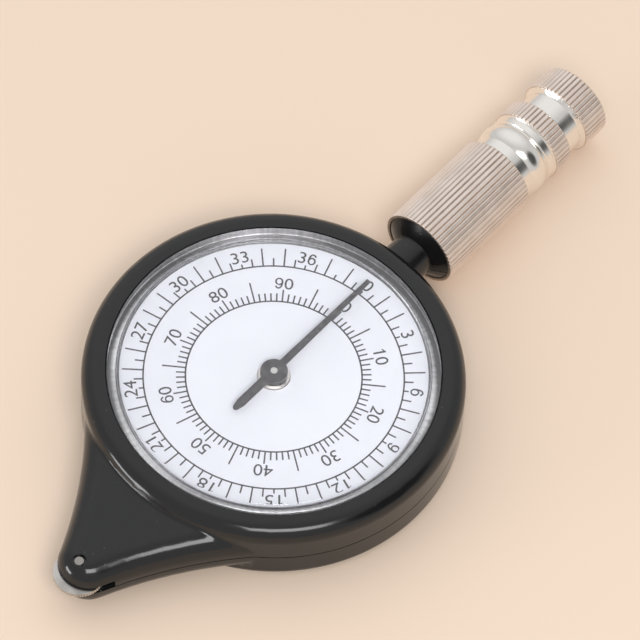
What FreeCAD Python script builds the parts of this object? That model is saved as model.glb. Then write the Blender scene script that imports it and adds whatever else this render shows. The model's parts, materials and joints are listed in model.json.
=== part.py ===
import FreeCAD, Part
import math
import os

import Sketcher
from FreeCAD import Vector

# Opisometer (map measurer). Millimetres, +Z up out of the dial, +Y from the dial's centre to the handle.
# The origin is where the dial's axis meets the flat back of the case.
#
# A toothed steel wheel in the tip of the snout rolls along the map. Its pinion drives an idler and two
# compound gears, and the last of them drives the gear on the pointer's arbor: the pointer turns once
# for 48 turns of the wheel.

doc = FreeCAD.newDocument("opisometer")

SIZES = [
    # case, across
    ("case_radius", 24.35),
    ("wall", 1.4),
    ("rim_width", 3.05),
    ("rim_round", 2.2),
    ("back_round", 1.5),
    ("ledge_width", 2.3),
    ("reveal_width", 0.15),
    ("reveal_depth", 0.35),
    # stack of heights, from the back up to the rim
    ("floor", 1.4),
    ("low_level", 3.2),
    ("gear_thickness", 0.8),
    ("level_gap", 0.3),
    ("hub_rise", 0.3),
    ("end_gap", 0.1),
    ("bridge_thickness", 0.6),
    ("headroom", 0.2),
    ("ledge_thickness", 1.1),
    ("dial_thickness", 0.5),
    ("dial_depth", 2.1),
    # snout: a round nose between two hollow flanks
    ("snout_reach", 10.2),
    ("nose_radius", 3.9),
    ("flank_radius", 60.0),
    ("flank_angle", 36.2),
    ("flank_overrun", 1.5),
    ("snout_drop", 1.75),
    ("snout_lift", 0.9),
    ("snout_round", 3.0),
    ("cove_round", 0.7),
    ("snout_wall", 0.85),
    ("snout_floor", 2.0),
    ("slot_offset", 0.15),
    # dial and lens
    ("dial_gap", 0.1),
    ("lens_gap", 0.05),
    ("lens_plate", 0.65),
    ("lens_wall", 1.25),
    ("lens_bevel", 0.15),
    ("lens_round", 0.7),
    # teeth; addendum, clearance and thinning are in modules
    ("fine_module", 0.2),
    ("wheel_pinion_teeth", 10),
    ("idler_teeth", 37),
    ("first_gear_teeth", 30),
    ("first_pinion_teeth", 10),
    ("second_gear_teeth", 40),
    ("second_pinion_teeth", 10),
    ("centre_gear_teeth", 40),
    ("gear_addendum", 0.65),
    ("pinion_addendum", 0.9),
    ("root_clearance", 0.2),
    ("tooth_thinning", 0.2),
    # arbors and pins
    ("second_offset", 1.4),
    ("pinion_clearance", 0.18),
    ("hub_radius", 1.0),
    ("pin_radius", 0.5),
    ("running_gap", 0.03),
    ("boss_radius", 1.3),
    ("pin_seat", 0.9),
    # tracing wheel
    ("wheel_radius", 3.316),
    ("wheel_thickness", 0.55),
    ("wheel_clearance", 0.34),
    ("wheel_teeth", 60),
    ("wheel_tooth_depth", 0.12),
    ("wheel_notch_width", 0.28),
    ("wheel_collar_height", 0.95),
    ("wheel_collar_radius", 1.15),
    ("pin_head_radius", 0.58),
    ("pin_recess_radius", 0.95),
    ("pin_recess_depth", 0.35),
    # bridge plate
    ("bridge_gap", 3.0),
    ("strip_half_width", 1.0),
    ("screw_inset", 2.5),
    ("post_radius", 1.6),
    ("screw_radius", 0.5),
    ("screw_hole_gap", 0.1),
    ("screw_length", 3.2),
    ("screw_head_radius", 1.35),
    ("screw_head_height", 0.6),
    ("screw_slot_width", 0.3),
    ("screw_slot_depth", 0.3),
    # pointer and its bearing
    ("bush_radius", 2.07),
    ("bush_rise", 0.5),
    ("bush_flange", 0.6),
    ("bush_gap", 0.08),
    ("pointer_lift", 1.1),
    ("pointer_thickness", 0.18),
    ("pointer_clearance", 1.7),
    ("pointer_tail", 7.2),
    ("pointer_tip_width", 0.6),
    ("pointer_root_width", 1.0),
    ("tail_width", 1.2),
    ("tail_taper", 0.9),
    ("tail_end_radius", 0.4),
    ("pointer_hub_radius", 1.75),
    ("pointer_hub_depth", 0.45),
    ("arbor_step", 0.05),
    ("arbor_rise", 0.08),
    # neck, spigot and barrel
    ("neck_radius", 3.0),
    ("neck_length", 2.95),
    ("flare_length", 1.2),
    ("spigot_gap", 1.0),
    ("barrel_radius", 5.43),
    ("barrel_wall", 0.45),
    ("barrel_overlap", 0.1),
    ("barrel_length", 15.7),
    ("press_gap", 0.02),
    ("edge_break", 0.2),
    ("knurl_break", 0.07),
    ("knurl_count", 50),
    ("knurl_depth", 0.22),
    ("knurl_width", 0.44),
    # end piece: steps are below the barrel's surface
    ("plug_length", 5.6),
    ("plug_wall", 1.5),
    ("end_wall", 3.1),
    ("waist_step", 0.58),
    ("waist_length", 1.7),
    ("bead_step", 0.64),
    ("bead_length", 2.7),
    ("bead_curve", 2.45),
    ("groove_step", 0.68),
    ("groove_length", 0.3),
    ("collar_step", 0.43),
    ("collar_length", 1.05),
    ("cone_length", 0.15),
    ("ring_step", 0.13),
    ("ring_length", 2.9),
    ("recess_step", 0.93),
    ("recess_length", 2.8),
    ("cap_lead", 0.3),
    ("cap_length", 4.1),
]

SCREW_ANGLES = (30, 150, 220)
PRESSURE_ANGLE = math.radians(20)
# The largest share of a shell's side that the snout's round may take.
ROUND_SHARE = 0.83

sheet = doc.addObject("Spreadsheet::Sheet", "sizes")
for row, (alias, number) in enumerate(SIZES, start=1):
    sheet.set("A%d" % row, alias)
    sheet.set("B%d" % row, str(number))
    sheet.setAlias("B%d" % row, alias)
doc.recompute()

sub_parts = []


# ---------------------------------------------------------------- formulas of heights, places and radii


def beyond(start, *aliases):
    """The formula of a place that lies beyond another by named sizes."""
    return " + ".join([start] + ["sizes." + alias for alias in aliases])


def below(start, *aliases):
    """The formula of a place that falls short of another by named sizes."""
    return " - ".join([start] + ["sizes." + alias for alias in aliases])


def value(formula):
    """A formula's present value, for shapes that are worked out here."""
    return float(sheet.evalExpression(formula))


# Heights.
BOSS_TOP = below("sizes.low_level", "end_gap")
PIN_FOOT = below(BOSS_TOP, "pin_seat")
LOW_TOP = beyond("sizes.low_level", "gear_thickness")
OVER_LOW = beyond(LOW_TOP, "end_gap")
HIGH_BOTTOM = beyond(LOW_TOP, "level_gap")
HIGH_TOP = beyond(HIGH_BOTTOM, "gear_thickness")
HUB_TOP = beyond(HIGH_TOP, "hub_rise")
BRIDGE_BOTTOM = beyond(HUB_TOP, "end_gap")
BRIDGE_TOP = beyond(BRIDGE_BOTTOM, "bridge_thickness")
CAVITY_TOP = beyond(BRIDGE_TOP, "headroom")
DIAL_BOTTOM = beyond(CAVITY_TOP, "ledge_thickness")
DIAL_TOP = beyond(DIAL_BOTTOM, "dial_thickness")
CASE_TOP = beyond(DIAL_TOP, "dial_depth")
WHEEL_BOTTOM = beyond(LOW_TOP, "wheel_collar_height")
WHEEL_TOP = beyond(WHEEL_BOTTOM, "wheel_thickness")
PARTING = below(WHEEL_BOTTOM, "wheel_clearance")
SLOT_TOP = beyond(WHEEL_TOP, "wheel_clearance")
SNOUT_TOP = below(CASE_TOP, "snout_drop")
SNOUT_BOTTOM = "sizes.snout_lift"
POINTER_BOTTOM = beyond(DIAL_TOP, "pointer_lift")
POINTER_TOP = beyond(POINTER_BOTTOM, "pointer_thickness")
BUSH_TOP = beyond(DIAL_TOP, "bush_rise")
AXIS = "sizes.barrel_radius"
LENS_CEILING = below(CASE_TOP, "lens_plate")
CLEAR_OVER = "2 * (%s)" % CASE_TOP

# Radii about the dial's axis.
CAVITY_RADIUS = below("sizes.case_radius", "wall")
BEZEL_BORE = below("sizes.case_radius", "rim_width")
LEDGE_BORE = below(BEZEL_BORE, "ledge_width")
LENS_RADIUS = below(BEZEL_BORE, "lens_gap")
LENS_BORE = below(LENS_RADIUS, "lens_wall")
DIAL_RADIUS = below(LENS_BORE, "dial_gap")
BRIDGE_RADIUS = below(LEDGE_BORE, "bridge_gap")
SCREW_CIRCLE = "(%s)" % below(BRIDGE_RADIUS, "screw_inset")
BEARING_BORE = beyond("sizes.pin_radius", "running_gap")
DIAL_HOLE = beyond("sizes.bush_radius", "bush_gap")

# Gear centres on the way from the nose to the dial's centre.
NOSE_CENTRE = "-(%s)" % beyond("sizes.case_radius", "snout_reach")
PINION_REACH = "(sizes.wheel_pinion_teeth / 2 + sizes.pinion_addendum) * sizes.fine_module"
WHEEL_Y = (beyond(below(NOSE_CENTRE, "nose_radius"), "snout_wall", "pinion_clearance")
           + " + " + PINION_REACH)
IDLER_Y = WHEEL_Y + " + (sizes.wheel_pinion_teeth + sizes.idler_teeth) * sizes.fine_module / 2"
FIRST_Y = IDLER_Y + " + (sizes.idler_teeth + sizes.first_gear_teeth) * sizes.fine_module / 2"
SECOND_PAIR = "(sizes.first_pinion_teeth + sizes.second_gear_teeth)"
THIRD_PAIR = "(sizes.second_pinion_teeth + sizes.centre_gear_teeth)"
SECOND_Y = "(%s) * %s / (%s + %s)" % (FIRST_Y, THIRD_PAIR, SECOND_PAIR, THIRD_PAIR)

ARBOR = ("0", "0")
WHEEL = ("0", WHEEL_Y)
PINS = {"idler": ("0", IDLER_Y), "first": ("0", FIRST_Y), "second": ("sizes.second_offset", SECOND_Y)}
SCREWS = [("%s * cos(%d)" % (SCREW_CIRCLE, angle), "%s * sin(%d)" % (SCREW_CIRCLE, angle))
          for angle in SCREW_ANGLES]

# Stations along the handle.
NECK_END = beyond("sizes.case_radius", "neck_length")
FLARE_END = beyond(NECK_END, "flare_length")
BARREL_START = below(FLARE_END, "barrel_overlap")
BARREL_END = beyond(BARREL_START, "barrel_length")
PLUG_START = below(BARREL_END, "plug_length")
SPIGOT_END = below(PLUG_START, "spigot_gap")
BEAD_START = beyond(BARREL_END, "waist_length")
BEAD_END = beyond(BEAD_START, "bead_length")
COLLAR_START = beyond(BEAD_END, "groove_length")
COLLAR_END = beyond(COLLAR_START, "collar_length")
RING_START = beyond(COLLAR_END, "cone_length")
RING_END = beyond(RING_START, "ring_length")
RECESS_END = beyond(RING_END, "recess_length")
CAP_START = beyond(RECESS_END, "cap_lead")
CAP_END = beyond(CAP_START, "cap_length")
PLUG_BORE_END = below(CAP_END, "end_wall")

# Radii about the handle's axis.
BARREL_BORE = below("sizes.barrel_radius", "barrel_wall")
SPIGOT_RADIUS = below(BARREL_BORE, "press_gap")
PLUG_RADIUS = below(BARREL_BORE, "press_gap")
PLUG_BORE = below(PLUG_RADIUS, "plug_wall")
WAIST_RADIUS = below("sizes.barrel_radius", "waist_step")
BEAD_EDGE = below("sizes.barrel_radius", "bead_step")
GROOVE_RADIUS = below("sizes.barrel_radius", "groove_step")
COLLAR_RADIUS = below("sizes.barrel_radius", "collar_step")
RING_RADIUS = below("sizes.barrel_radius", "ring_step")
RECESS_RADIUS = below("sizes.barrel_radius", "recess_step")


# ---------------------------------------------------------------- building blocks


def bind(thing, **formulas):
    """Bind properties to formulas; x, y and z stand for the placement's base."""
    paths = {"x": "Placement.Base.x", "y": "Placement.Base.y", "z": "Placement.Base.z"}
    for key, formula in formulas.items():
        thing.setExpression(paths.get(key, key), formula)
    return thing


def sub_part(thing, label):
    """Name a finished sub-part; its label is its file's name."""
    thing.Label = label
    sub_parts.append(thing)
    return thing


def upright(name, centre, radius, bottom, top):
    """An upright cylinder on a centre between two heights."""
    rod = doc.addObject("Part::Cylinder", name)
    return bind(rod, Radius=radius, Height="(%s) - (%s)" % (top, bottom), x=centre[0], y=centre[1], z=bottom)


def block(name, low, high):
    """A box between two corners."""
    spans = ["(%s) - (%s)" % (end, start) for start, end in zip(low, high)]
    thing = doc.addObject("Part::Box", name)
    return bind(thing, Length=spans[0], Width=spans[1], Height=spans[2], x=low[0], y=low[1], z=low[2])


def fuse(name, *shapes):
    joined = doc.addObject("Part::MultiFuse", name)
    joined.Shapes = list(shapes)
    return joined


def cut(name, base, *tools):
    """base less every tool."""
    result = doc.addObject("Part::Cut", name)
    result.Base = base
    result.Tool = tools[0] if len(tools) == 1 else fuse(name + "_tools", *tools)
    return result


def common(name, *shapes):
    shared = doc.addObject("Part::MultiCommon", name)
    shared.Shapes = list(shapes)
    return shared


def round_edges(name, base, chosen, radius):
    """Round the edges of base for which chosen(edge) is true."""
    doc.recompute()
    result = doc.addObject("Part::Fillet", name)
    result.Base = base
    numbered = enumerate(base.Shape.Edges, start=1)
    result.Edges = [(number, radius, radius) for number, edge in numbered if chosen(edge)]
    return result


def lies_at(edge, height):
    """Whether a curved edge lies flat at a height."""
    bounds = edge.BoundBox
    flat = abs(bounds.ZMin - height) < 1e-6 and abs(bounds.ZMax - height) < 1e-6
    return flat and edge.Curve.TypeId == "Part::GeomCircle"


def sketch_on(body, plane_role, name):
    """A sketch on one of the body's own origin planes."""
    sketch = body.newObject("Sketcher::SketchObject", name)
    plane = next(p for p in body.Origin.OriginFeatures if p.Role == plane_role)
    sketch.AttachmentSupport = [(plane, "")]
    sketch.MapMode = "FlatFace"
    return sketch


def polygon(sketch, corners):
    """A closed outline. A corner is two formulas; a third bows the edge that follows to that radius."""
    points = [Vector(value(corner[0]), value(corner[1]), 0) for corner in corners]
    edges = []
    for corner, start, end in zip(corners, points, points[1:] + points[:1]):
        if len(corner) == 2:
            edges.append(sketch.addGeometry(Part.LineSegment(start, end)))
            continue
        chord = end - start
        radius = value(corner[2])
        rise = radius - math.sqrt(radius ** 2 - chord.Length ** 2 / 4)
        crest = (start + end) / 2 + Vector(chord.y, -chord.x, 0) * (rise / chord.Length)
        edges.append(sketch.addGeometry(Part.Arc(start, crest, end)))
        number = sketch.addConstraint(Sketcher.Constraint("Radius", edges[-1], radius))
        sketch.setExpression("Constraints[%d]" % number, corner[2])
    for before, edge in zip([edges[-1]] + edges, edges):
        sketch.addConstraint(Sketcher.Constraint("Coincident", before, 2, edge, 1))
    for edge, corner, point in zip(edges, corners, points):
        for kind, formula, now in (("DistanceX", corner[0], point.x), ("DistanceY", corner[1], point.y)):
            number = sketch.addConstraint(Sketcher.Constraint(kind, -1, 1, edge, 1, now))
            sketch.setExpression("Constraints[%d]" % number, formula)
    return sketch


def turned(name, plane_role, corners):
    """A body turned about its sketch's upright axis; corners are (radius, place) formulas."""
    body = doc.addObject("PartDesign::Body", name)
    profile = polygon(sketch_on(body, plane_role, name + "_profile"), corners)
    turn = body.newObject("PartDesign::Revolution", name + "_turn")
    turn.Profile = profile
    turn.ReferenceAxis = (profile, ["V_Axis"])
    turn.Angle = 360
    return body


def repeat_round(body, feature, profile, count, name):
    """Repeat a feature round the normal of its own sketch."""
    pattern = body.newObject("PartDesign::PolarPattern", name)
    pattern.Originals = [feature]
    pattern.Axis = (profile, ["N_Axis"])
    pattern.Angle = 360
    pattern.setExpression("Occurrences", count)
    body.Tip = pattern
    return pattern


# ---------------------------------------------------------------- snout's plan


def snout_prism(name, inset, bottom, top):
    """The snout between two heights, its plan drawn in by inset on the same centres."""
    nose = Vector(0, value(NOSE_CENTRE), 0)
    nose_radius = value("sizes.nose_radius")
    flank_radius = value("sizes.flank_radius")
    angle = math.radians(value("sizes.flank_angle"))
    shore = Vector(math.sin(angle), -math.cos(angle), 0) * value("sizes.case_radius")
    span = shore - nose
    centres = nose_radius + flank_radius
    along = (centres ** 2 - flank_radius ** 2 + span.Length ** 2) / (2 * span.Length)
    aside = math.sqrt(centres ** 2 - along ** 2)
    unit = span / span.Length
    flank = nose + unit * along + Vector(unit.y, -unit.x, 0) * aside

    def on_flank(bearing):
        return flank + Vector(math.cos(bearing), math.sin(bearing), 0) * (flank_radius + inset)

    def mirrored(point):
        return Vector(-point.x, point.y, 0)

    to_nose = math.atan2(nose.y - flank.y, nose.x - flank.x)
    to_end = math.atan2(shore.y - flank.y, shore.x - flank.x) - value("sizes.flank_overrun") / flank_radius
    join, middle, end = [on_flank(bearing) for bearing in (to_nose, (to_nose + to_end) / 2, to_end)]
    front = nose - Vector(0, nose_radius - inset, 0)
    plan = doc.addObject("Sketcher::SketchObject", name + "_plan")
    plan.addGeometry(Part.Arc(mirrored(join), front, join))
    plan.addGeometry(Part.Arc(join, middle, end))
    plan.addGeometry(Part.LineSegment(end, mirrored(end)))
    plan.addGeometry(Part.Arc(mirrored(end), mirrored(middle), mirrored(join)))
    bind(plan, z=bottom)
    prism = doc.addObject("Part::Extrusion", name)
    prism.Base = plan
    prism.DirMode = "Normal"
    prism.Solid = True
    return bind(prism, LengthFwd="(%s) - (%s)" % (top, bottom))


# ---------------------------------------------------------------- what both shells share


def half_neck(name, bottom, top):
    """The part of the neck and spigot that one shell carries."""
    whole = turned(name + "_turned", "XY_Plane", [
        ("0", CAVITY_RADIUS),
        ("sizes.neck_radius", CAVITY_RADIUS),
        ("sizes.neck_radius", NECK_END),
        (SPIGOT_RADIUS, FLARE_END),
        (SPIGOT_RADIUS, below(SPIGOT_END, "edge_break")),
        (below(SPIGOT_RADIUS, "edge_break"), SPIGOT_END),
        ("0", SPIGOT_END),
    ])
    bind(whole, z=AXIS)
    return common(name, whole, block(name + "_half", ("-sizes.barrel_radius", "0", bottom),
                                     ("sizes.barrel_radius", CAP_END, top)))


def reveal_groove(name):
    """The shadow line round the case where the shells meet."""
    bottom = PARTING + " - sizes.reveal_width / 2"
    top = PARTING + " + sizes.reveal_width / 2"
    slab = block(name + "_slab", ("-2 * sizes.case_radius", "-2 * sizes.case_radius", bottom),
                 ("2 * sizes.case_radius", SPIGOT_END, top))
    core = fuse(name + "_core",
                upright(name + "_round", ARBOR, below("sizes.case_radius", "reveal_depth"), "0", CASE_TOP),
                snout_prism(name + "_snout", value("sizes.reveal_depth"), "0", CASE_TOP),
                block(name + "_neck", ("-sizes.neck_radius", "0", "0"),
                      ("sizes.neck_radius", SPIGOT_END, CASE_TOP)))
    return cut(name, slab, core)


def snout_rounding(bottom, top):
    """The round along the snout's edge, which its side limits."""
    return min(value("sizes.snout_round"), ROUND_SHARE * (value(top) - value(bottom)))


# ---------------------------------------------------------------- rear shell

rear_round = round_edges(
    "rear_round", upright("rear_puck", ARBOR, "sizes.case_radius", "0", PARTING),
    lambda edge: lies_at(edge, 0), value("sizes.back_round"))
rear_snout = round_edges(
    "rear_snout", snout_prism("rear_snout_block", 0, SNOUT_BOTTOM, PARTING),
    lambda edge: lies_at(edge, value(SNOUT_BOTTOM)), snout_rounding(SNOUT_BOTTOM, PARTING))
rear_hollow = cut(
    "rear_hollow",
    fuse("rear_space",
         upright("rear_space_round", ARBOR, CAVITY_RADIUS, "sizes.floor", CLEAR_OVER),
         snout_prism("rear_space_snout", value("sizes.snout_wall"), beyond(SNOUT_BOTTOM, "snout_floor"),
                     CLEAR_OVER)),
    upright("wheel_boss", WHEEL, "sizes.boss_radius", "0", BOSS_TOP),
    upright("arbor_boss", ARBOR, "sizes.boss_radius", "0", BOSS_TOP),
    *[upright(name + "_boss", centre, "sizes.boss_radius", "0", BOSS_TOP) for name, centre in PINS.items()])
rear_posts = [upright("post_%d" % n, centre, "sizes.post_radius", "sizes.floor", BRIDGE_BOTTOM)
              for n, centre in enumerate(SCREWS, start=1)]
rear_drillings = [
    upright("wheel_pin_seat", WHEEL, "sizes.pin_radius", PIN_FOOT, CLEAR_OVER),
    upright("arbor_foot_seat", ARBOR, BEARING_BORE, below(PIN_FOOT, "end_gap"), CLEAR_OVER),
    *[upright(name + "_pin_seat", centre, "sizes.pin_radius", PIN_FOOT, CLEAR_OVER)
      for name, centre in PINS.items()],
    *[upright("pilot_%d" % n, centre, "sizes.screw_radius", below(BRIDGE_TOP, "screw_length"), CLEAR_OVER)
      for n, centre in enumerate(SCREWS, start=1)]]
rear_outside = fuse("rear_outside", rear_round, rear_snout, half_neck("rear_neck", "-" + AXIS, PARTING))
rear_body = cut("rear_body", rear_outside, rear_hollow, reveal_groove("rear_reveal"))
sub_part(cut("rear_drilled", fuse("rear_with_posts", rear_body, *rear_posts), *rear_drillings), "rear_shell")

# ---------------------------------------------------------------- front shell

front_round = round_edges(
    "front_round", upright("front_puck", ARBOR, "sizes.case_radius", PARTING, CASE_TOP),
    lambda edge: lies_at(edge, value(CASE_TOP)), value("sizes.rim_round"))
front_snout = round_edges(
    "front_snout", snout_prism("front_snout_block", 0, PARTING, SNOUT_TOP),
    lambda edge: lies_at(edge, value(SNOUT_TOP)), snout_rounding(PARTING, SNOUT_TOP))
front_hollow = cut(
    "front_hollow",
    fuse("front_space",
         upright("front_space_round", ARBOR, CAVITY_RADIUS, "0", CAVITY_TOP),
         snout_prism("front_space_snout", value("sizes.snout_wall"), "0", CAVITY_TOP),
         upright("wheel_space", WHEEL, beyond("sizes.wheel_radius", "wheel_clearance"), "0", SLOT_TOP),
         block("wheel_slot", ("-2 * sizes.nose_radius", "-2 * sizes.case_radius", "0"),
               ("2 * sizes.nose_radius", beyond(NOSE_CENTRE, "slot_offset"), SLOT_TOP))),
    upright("wheel_upper_boss", WHEEL, "sizes.boss_radius", beyond(WHEEL_TOP, "end_gap"), CLEAR_OVER))
front_outside = round_edges(
    "front_outside", fuse("front_joined", front_round, front_snout),
    lambda edge: lies_at(edge, value(SNOUT_TOP)) and edge.Curve.Center.Length < edge.Curve.Radius,
    value("sizes.cove_round"))
sub_part(cut(
    "front_opened", fuse("front_with_neck", front_outside, half_neck("front_neck", PARTING, CLEAR_OVER)),
    front_hollow, reveal_groove("front_reveal"),
    upright("ledge_opening", ARBOR, LEDGE_BORE, "0", CLEAR_OVER),
    upright("bezel_opening", ARBOR, BEZEL_BORE, DIAL_BOTTOM, CLEAR_OVER),
    upright("wheel_pin_hole", WHEEL, "sizes.pin_radius", "0", CLEAR_OVER),
    upright("wheel_pin_recess", WHEEL, "sizes.pin_recess_radius", below(SNOUT_TOP, "pin_recess_depth"),
            CLEAR_OVER)), "front_shell")

# ---------------------------------------------------------------- dial and lens

sub_part(turned("dial_disc", "XZ_Plane", [
    (DIAL_HOLE, DIAL_BOTTOM),
    (DIAL_RADIUS, DIAL_BOTTOM),
    (DIAL_RADIUS, DIAL_TOP),
    (DIAL_HOLE, DIAL_TOP),
]), "dial")

sub_part(turned("lens_cup", "XZ_Plane", [
    ("0", CASE_TOP),
    (below(LENS_RADIUS, "lens_bevel"), CASE_TOP),
    (LENS_RADIUS, below(CASE_TOP, "lens_bevel")),
    (LENS_RADIUS, DIAL_BOTTOM),
    (LENS_BORE, DIAL_BOTTOM),
    (LENS_BORE, below(LENS_CEILING, "lens_round"), "sizes.lens_round"),
    (below(LENS_BORE, "lens_round"), LENS_CEILING),
    ("0", LENS_CEILING),
]), "lens")

# ---------------------------------------------------------------- bridge plate and its screws

bridge_outline = fuse(
    "bridge_outline",
    upright("bridge_disc", ARBOR, BRIDGE_RADIUS, BRIDGE_BOTTOM, BRIDGE_TOP),
    upright("bridge_nose", PINS["idler"], "sizes.strip_half_width", BRIDGE_BOTTOM, BRIDGE_TOP),
    block("bridge_strip", ("-sizes.strip_half_width", IDLER_Y, BRIDGE_BOTTOM),
          ("sizes.strip_half_width", "0", BRIDGE_TOP)))
sub_part(cut(
    "bridge_drilled", bridge_outline,
    upright("bush_hole", ARBOR, "sizes.bush_radius", "0", CLEAR_OVER),
    *[upright(name + "_bridge_hole", centre, "sizes.pin_radius", "0", CLEAR_OVER)
      for name, centre in PINS.items()],
    *[upright("screw_hole_%d" % n, centre, beyond("sizes.screw_radius", "screw_hole_gap"), "0", CLEAR_OVER)
      for n, centre in enumerate(SCREWS, start=1)]), "bridge_plate")


def slotted_screw(name, centre):
    """A cheese-head screw that holds the bridge plate down on its post."""
    head_top = beyond(BRIDGE_TOP, "screw_head_height")
    shank = upright(name + "_shank", centre, "sizes.screw_radius", below(BRIDGE_TOP, "screw_length"),
                    BRIDGE_TOP)
    head = upright(name + "_head", centre, "sizes.screw_head_radius", BRIDGE_TOP, head_top)
    slot = block(name + "_slot",
                 ("%s - 2 * sizes.screw_head_radius" % centre[0],
                  "%s - sizes.screw_slot_width / 2" % centre[1],
                  below(head_top, "screw_slot_depth")),
                 ("%s + 2 * sizes.screw_head_radius" % centre[0],
                  "%s + sizes.screw_slot_width / 2" % centre[1],
                  CLEAR_OVER))
    return cut(name, fuse(name + "_blank", shank, head), slot)


screw_set = doc.addObject("Part::Compound", "screw_set")
screw_set.Links = [slotted_screw("screw_%d" % n, centre) for n, centre in enumerate(SCREWS, start=1)]
sub_part(screw_set, "bridge_screws")

# ---------------------------------------------------------------- pins, arbor and bush

for pin_name, pin_centre in PINS.items():
    sub_part(upright(pin_name + "_rod", pin_centre, "sizes.pin_radius", PIN_FOOT, BRIDGE_TOP),
             pin_name + "_pin")

wheel_pin = turned("wheel_rod", "XZ_Plane", [
    ("0", PIN_FOOT),
    ("sizes.pin_radius", PIN_FOOT),
    ("sizes.pin_radius", below(SNOUT_TOP, "pin_recess_depth")),
    ("sizes.pin_head_radius", below(SNOUT_TOP, "pin_recess_depth")),
    ("sizes.pin_head_radius", SNOUT_TOP),
    ("0", SNOUT_TOP),
])
sub_part(bind(wheel_pin, y=WHEEL_Y), "wheel_pin")

ARBOR_TIP_RADIUS = below("sizes.pin_radius", "arbor_step")
sub_part(turned("arbor_rod", "XZ_Plane", [
    ("0", PIN_FOOT),
    ("sizes.pin_radius", PIN_FOOT),
    ("sizes.pin_radius", POINTER_BOTTOM),
    (ARBOR_TIP_RADIUS, POINTER_BOTTOM),
    (ARBOR_TIP_RADIUS, beyond(POINTER_TOP, "arbor_rise")),
    ("0", beyond(POINTER_TOP, "arbor_rise")),
]), "pointer_arbor")

FLANGE_TOP = below(DIAL_BOTTOM, "end_gap")
FLANGE_RADIUS = beyond("sizes.bush_radius", "bush_flange")
sub_part(turned("bush_sleeve", "XZ_Plane", [
    (BEARING_BORE, BRIDGE_BOTTOM),
    ("sizes.bush_radius", BRIDGE_BOTTOM),
    ("sizes.bush_radius", BRIDGE_TOP),
    (FLANGE_RADIUS, BRIDGE_TOP),
    (FLANGE_RADIUS, FLANGE_TOP),
    ("sizes.bush_radius", FLANGE_TOP),
    ("sizes.bush_radius", below(BUSH_TOP, "edge_break")),
    (below("sizes.bush_radius", "edge_break"), BUSH_TOP),
    (BEARING_BORE, BUSH_TOP),
]), "upper_bush")

# ---------------------------------------------------------------- gears


def involute(angle):
    return math.tan(angle) - angle


def tooth_edges(teeth, module, addendum, dedendum, phase):
    """A spur gear's outline about the origin: involute flanks, one tooth centred on phase."""
    pitch_radius = teeth * module / 2
    base_radius = pitch_radius * math.cos(PRESSURE_ANGLE)
    tip_radius = pitch_radius + addendum
    root_radius = pitch_radius - dedendum
    flank_start = max(base_radius, root_radius)
    flank_middle = (flank_start + tip_radius) / 2
    tooth_width = module * (math.pi / 2 - value("sizes.tooth_thinning"))

    def half_angle(radius):
        unwound = involute(PRESSURE_ANGLE) - involute(math.acos(base_radius / radius))
        return tooth_width / (2 * pitch_radius) + unwound

    def point(radius, angle):
        return Vector(radius * math.cos(angle), radius * math.sin(angle), 0)

    edges = []
    root_half = half_angle(flank_start)
    pitch_angle = 2 * math.pi / teeth
    for number in range(int(teeth)):
        centre = phase + pitch_angle * number
        radii = (flank_start, flank_middle, tip_radius)
        rising = [point(radius, centre - half_angle(radius)) for radius in radii]
        falling = [point(radius, centre + half_angle(radius)) for radius in reversed(radii)]
        gap_start = point(root_radius, centre + root_half)
        gap_middle = point(root_radius, centre + pitch_angle / 2)
        gap_end = point(root_radius, centre + pitch_angle - root_half)
        edges.append(Part.Arc(*rising).toShape())
        edges.append(Part.Arc(rising[-1], point(tip_radius, centre), falling[0]).toShape())
        edges.append(Part.Arc(*falling).toShape())
        edges.append(Part.Arc(gap_start, gap_middle, gap_end).toShape())
        if root_radius < flank_start:
            next_flank = point(flank_start, centre + pitch_angle - root_half)
            edges.append(Part.LineSegment(falling[-1], gap_start).toShape())
            edges.append(Part.LineSegment(gap_end, next_flank).toShape())
    return edges


def toothed_disc(teeth, module, is_pinion, phase, bottom, top):
    """A gear's toothed solid about the origin."""
    addendum, mating = value("sizes.gear_addendum"), value("sizes.pinion_addendum")
    if is_pinion:
        addendum, mating = mating, addendum
    dedendum = mating + value("sizes.root_clearance")
    edges = tooth_edges(teeth, module, addendum * module, dedendum * module, phase)
    face = Part.Face(Part.Wire(Part.__sortEdges__(edges)))
    return face.extrude(Vector(0, 0, top - bottom)).translated(Vector(0, 0, bottom))


def rod_shape(radius, bottom, top):
    return Part.makeCylinder(radius, top - bottom, Vector(0, 0, bottom))


def meshed_phase(driver_teeth, driver_phase, bearing, driven_teeth):
    """The driven gear's phase that sets a gap of it against the driver's tooth on the line of centres."""
    driver_turn = driver_teeth * (bearing - driver_phase) / (2 * math.pi)
    return bearing + math.pi - 2 * math.pi * (0.5 - driver_turn) / driven_teeth


def gear_part(label, shape, centre):
    """A gear's solid, placed on its centre."""
    gear = doc.addObject("Part::Feature", label + "_solid")
    gear.Shape = shape
    sub_part(bind(gear, x=centre[0], y=centre[1]), label)


def place(centre):
    return Vector(value(centre[0]), value(centre[1]), 0)


def bearing_between(start, end):
    """The direction from one centre to another."""
    line = place(end) - place(start)
    return math.atan2(line.y, line.x)


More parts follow.
